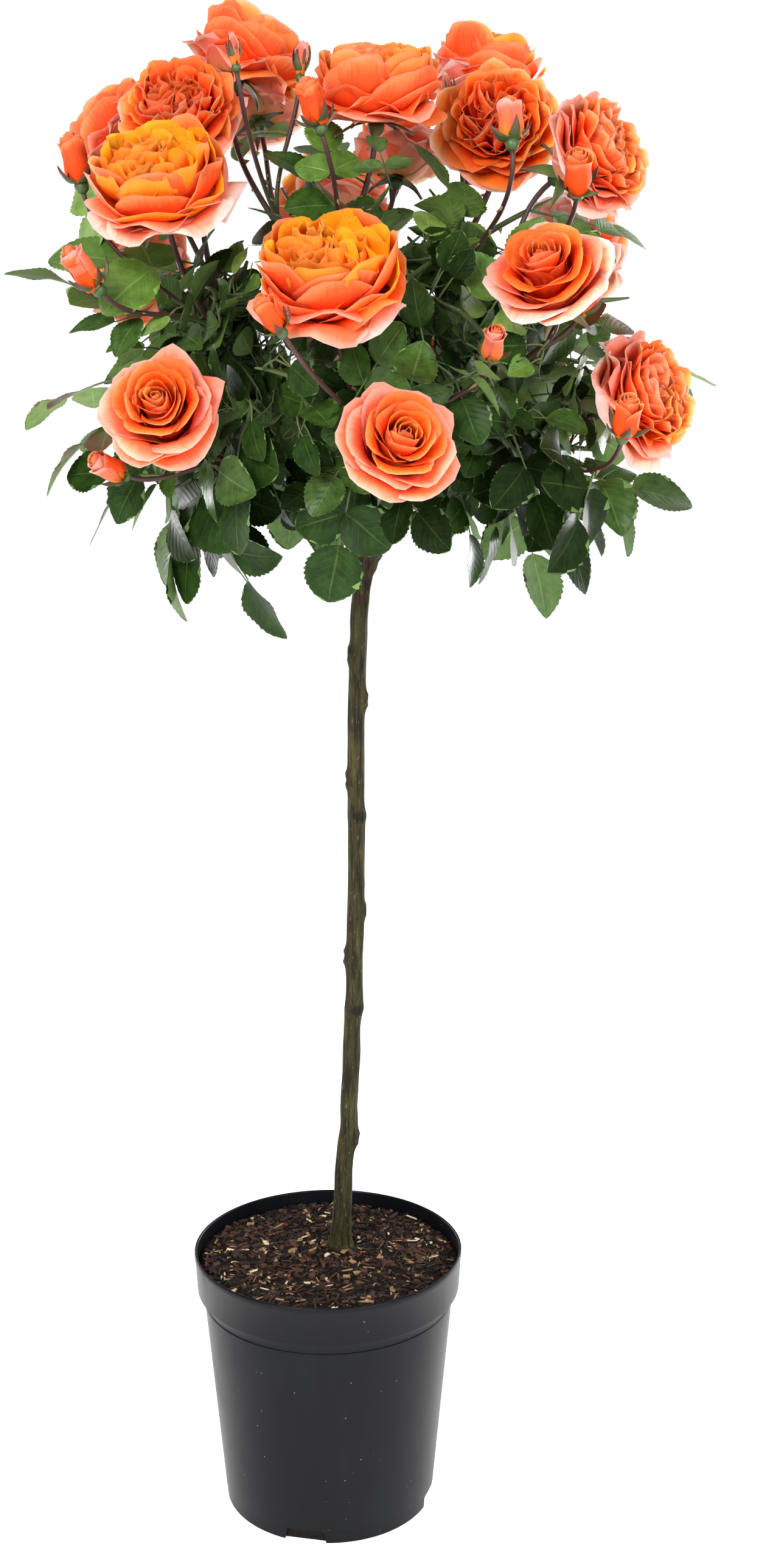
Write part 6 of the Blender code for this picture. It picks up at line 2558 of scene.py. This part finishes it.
    def build_leaves(self) -> None:
        """Joins every leaflet and leaf stalk into one piece."""
        rng = random.Random(FINE_SEED * 3 + self.number)
        batch = Batch(self.name + "_leaves", self.materials["leaves"])
        for spray in self.sprays:
            top = rng.choices(range(len(LEAF_TOPS)), leaf_weights(spray.stalk[1]))[0]
            under = len(LEAF_TOPS) + (1 if top >= BRIGHT_FROM else 0)
            outline = rng.choices(list(LeafOutline), OUTLINE_SHARES)[0]
            self.add_stalk(batch, rng, spray)
            for leaflet in spray.leaflets:
                self.add_leaflet(batch, rng, leaflet, outline, (top, under))
        batch.piece("foliage", self.name)

    def add_stalk(self, batch: Batch, rng: random.Random, spray: Spray) -> None:
        """Adds the slim stalk of a spray, arched a little between its ends."""
        root, end = spray.stalk
        face = spray.leaflets[0].face
        rise = rng.uniform(*self.stalk_rises)
        steps = self.stalk_steps
        course = [root.lerp(end, step / steps) + face * rise * math.sin(math.pi * step / steps)
                  for step in range(steps + 1)]
        batch.tube(self.stalk_sides, course, self.stalk_radii, RACHIS_CELL)

    def add_leaflet(self, batch: Batch, rng: random.Random, leaflet: Leaflet, outline: LeafOutline,
                    cells: tuple) -> None:
        """Adds one leaflet: folded along its midrib, bowed to its tip and waved at its rim.

        Args:
            batch: The piece that it joins.
            rng: Where its draws come from.
            leaflet: Where it grows.
            outline: Its outline.
            cells: The cells of its face and its back.
        """
        stamp = leaflet_stamp(outline, rng.randrange(2))
        across, along, behind = stamp.places.T
        longer, wider, fold, sag, wave, twist, phase = (rng.uniform(*span) for span in self.leaf_spans)
        length = leaflet.length * self.leaf_show * longer
        half = length * outline.value[1] / 2 * wider
        height = fold * np.abs(across) * half - sag * along ** 2 * length
        height += wave * length * np.sin(along * 8.5 + phase + np.sign(across)) * across ** 2
        height += twist * across * half * along
        height += behind * self.leaf_thickness
        forward = along * length * (1 - 0.22 * sag * along)
        side = leaflet.face.cross(leaflet.way)
        places = np.outer(forward, leaflet.way) + np.outer(across * half, side)
        places += np.outer(height, leaflet.face)
        batch.add(stamp, places + np.array(leaflet.root[:]), cells)

    def build_blossom(self) -> None:
        """Joins the blooms and buds into one piece."""
        batch = Batch(self.name + "_blossom", self.materials["petals"])
        for index, twig in enumerate(self.twigs):
            if twig.shoot.kind is not Kind.LEAFY:
                seed = FLOWER_SEED + self.number * FLOWER_SEEDS + index
                Flower(twig.shoot, batch, random.Random(seed)).build()
        batch.piece("foliage", self.name)

    def build(self) -> None:
        """Grows the mass and builds its three pieces."""
        self.twig_tree = twigs_tree(self.twigs)
        self.grow()
        self.build_twigs()
        self.build_leaves()
        self.build_blossom()


def build_masses(stem: Stem) -> None:
    """Plans the space of every mass, then builds them one after another.

    Args:
        stem: The built stem, which knows where each bough ends.
    """
    nodes = frame["nodes"]
    skeletons, stems = [], []
    for carrier, shoots in MASSES.values():
        course, way = stem.courses[carrier]
        root = course[-1] + way * GAP
        stems.append([root, root + way * STEM_LENGTH])
        skeletons.append(grow_twigs(root + way * STEM_LENGTH * 0.5, way, shoots))
    limbs = [solid_tree(nodes[name]) for name in (TRUNK, *BOUGHS)]
    crown = Crown(Space(skeletons), limbs, [shoot for _, shoots in MASSES.values() for shoot in shoots])
    finishes = {"leaves": LEAF_FINISHES, "shoots": SHOOT_FINISHES, "petals": PETAL_FINISHES}
    materials = {key: on_cells(rows) for key, rows in finishes.items()}
    for number, name in enumerate(MASSES):
        FoliageMass(name, number, skeletons[number], stems[number], crown, materials).build()


# ---------------------------------------------------------------- studio
@dataclass(frozen=True)
class Lamp:
    """One soft square lamp: where it stands, what it looks at, its width and its power."""

    name: str
    place: tuple
    aim: tuple
    size: float
    power: float

    def build(self) -> None:
        """Adds the lamp to the scene."""
        light = bpy.data.lights.new(self.name, "AREA")
        light.energy = self.power
        light.size = self.size
        made = linked(self.name, light)
        made.location = self.place
        made.rotation_euler = (Vector(self.aim) - Vector(self.place)).to_track_quat("-Z", "Y").to_euler()


@dataclass(frozen=True)
class Studio:
    """A wide pale floor, soft lamps, a bright surround and the camera."""

    camera_place: Vector = Vector((0.044, -1.425, 0.885))
    camera_tilt: float = math.radians(76.0)
    lens: float = 50.0
    floor_size: float = 60.0
    floor_sides: int = 128
    floor_front: float = 2.4
    eye_level: float = 1.04
    overhead: float = 0.38
    front: float = 0.42
    lamps: tuple = (
        Lamp("key", (-0.9, -2.0, 1.8), (0.03, 0, 0.80), 1.1, 78),
        Lamp("fill", (1.5, -1.8, 1.3), (0.03, 0, 0.70), 1.2, 46),
        Lamp("rim", (1.5, 1.2, 1.6), (0.03, 0, 0.6), 0.9, 12),
        Lamp("left_edge", (-1.3, 1.5, 0.45), (0.0, 0, 0.12), 0.5, 12),
        Lamp("right_edge", (1.3, 1.5, 0.45), (0.0, 0, 0.12), 0.5, 20),
    )

    def surround(self) -> bpy.types.World:
        """A surround that is white at eye level, and dimmer overhead and in front so that shine shows."""
        shader = Shader("surround", world=True)
        _, ahead, height = shader.split(shader.node("ShaderNodeTexCoord"))
        strength = height.smooth(0.16, 0.42, self.eye_level, self.overhead)
        strength = strength * ahead.smooth(-0.90, -0.20, self.front, 1.0)
        inputs = {"Color": (1.0, 1.0, 1.0, 1.0), "Strength": strength}
        return shader.close("ShaderNodeOutputWorld", shader.node("ShaderNodeBackground", None, inputs))

    def build(self) -> None:
        """Builds the studio."""
        scene = bpy.context.scene
        bm = bmesh.new()
        middle = Matrix.Translation((0.0, self.floor_size / 2 - self.floor_front, 0.0))
        bmesh.ops.create_circle(bm, cap_ends=True, segments=self.floor_sides, radius=self.floor_size / 2,
                                matrix=middle)
        floor = from_bmesh("studio_floor", bm, FloorFinish().material())
        scene.world = self.surround()
        for lamp in self.lamps:
            lamp.build()
        view = bpy.data.cameras.new("camera")
        view.lens = self.lens
        scene.camera = linked("camera", view)
        scene.camera.location = self.camera_place
        scene.camera.rotation_euler = (self.camera_tilt, 0.0, 0.0)
        scene.view_settings.view_transform = "Standard"


def main() -> None:
    """Builds the plant and its studio."""
    logging.basicConfig(level=logging.INFO, format="%(message)s")
    pot = Pot()
    pot.build()
    LOG.info("pot done")
    Compost(pot).build()
    LOG.info("compost done")
    stem = Stem()
    stem.trunk()
    stem.boughs()
    LOG.info("stem done")
    build_masses(stem)
    LOG.info("foliage done")
    Studio().build()


if __name__ == "__main__":
    main()
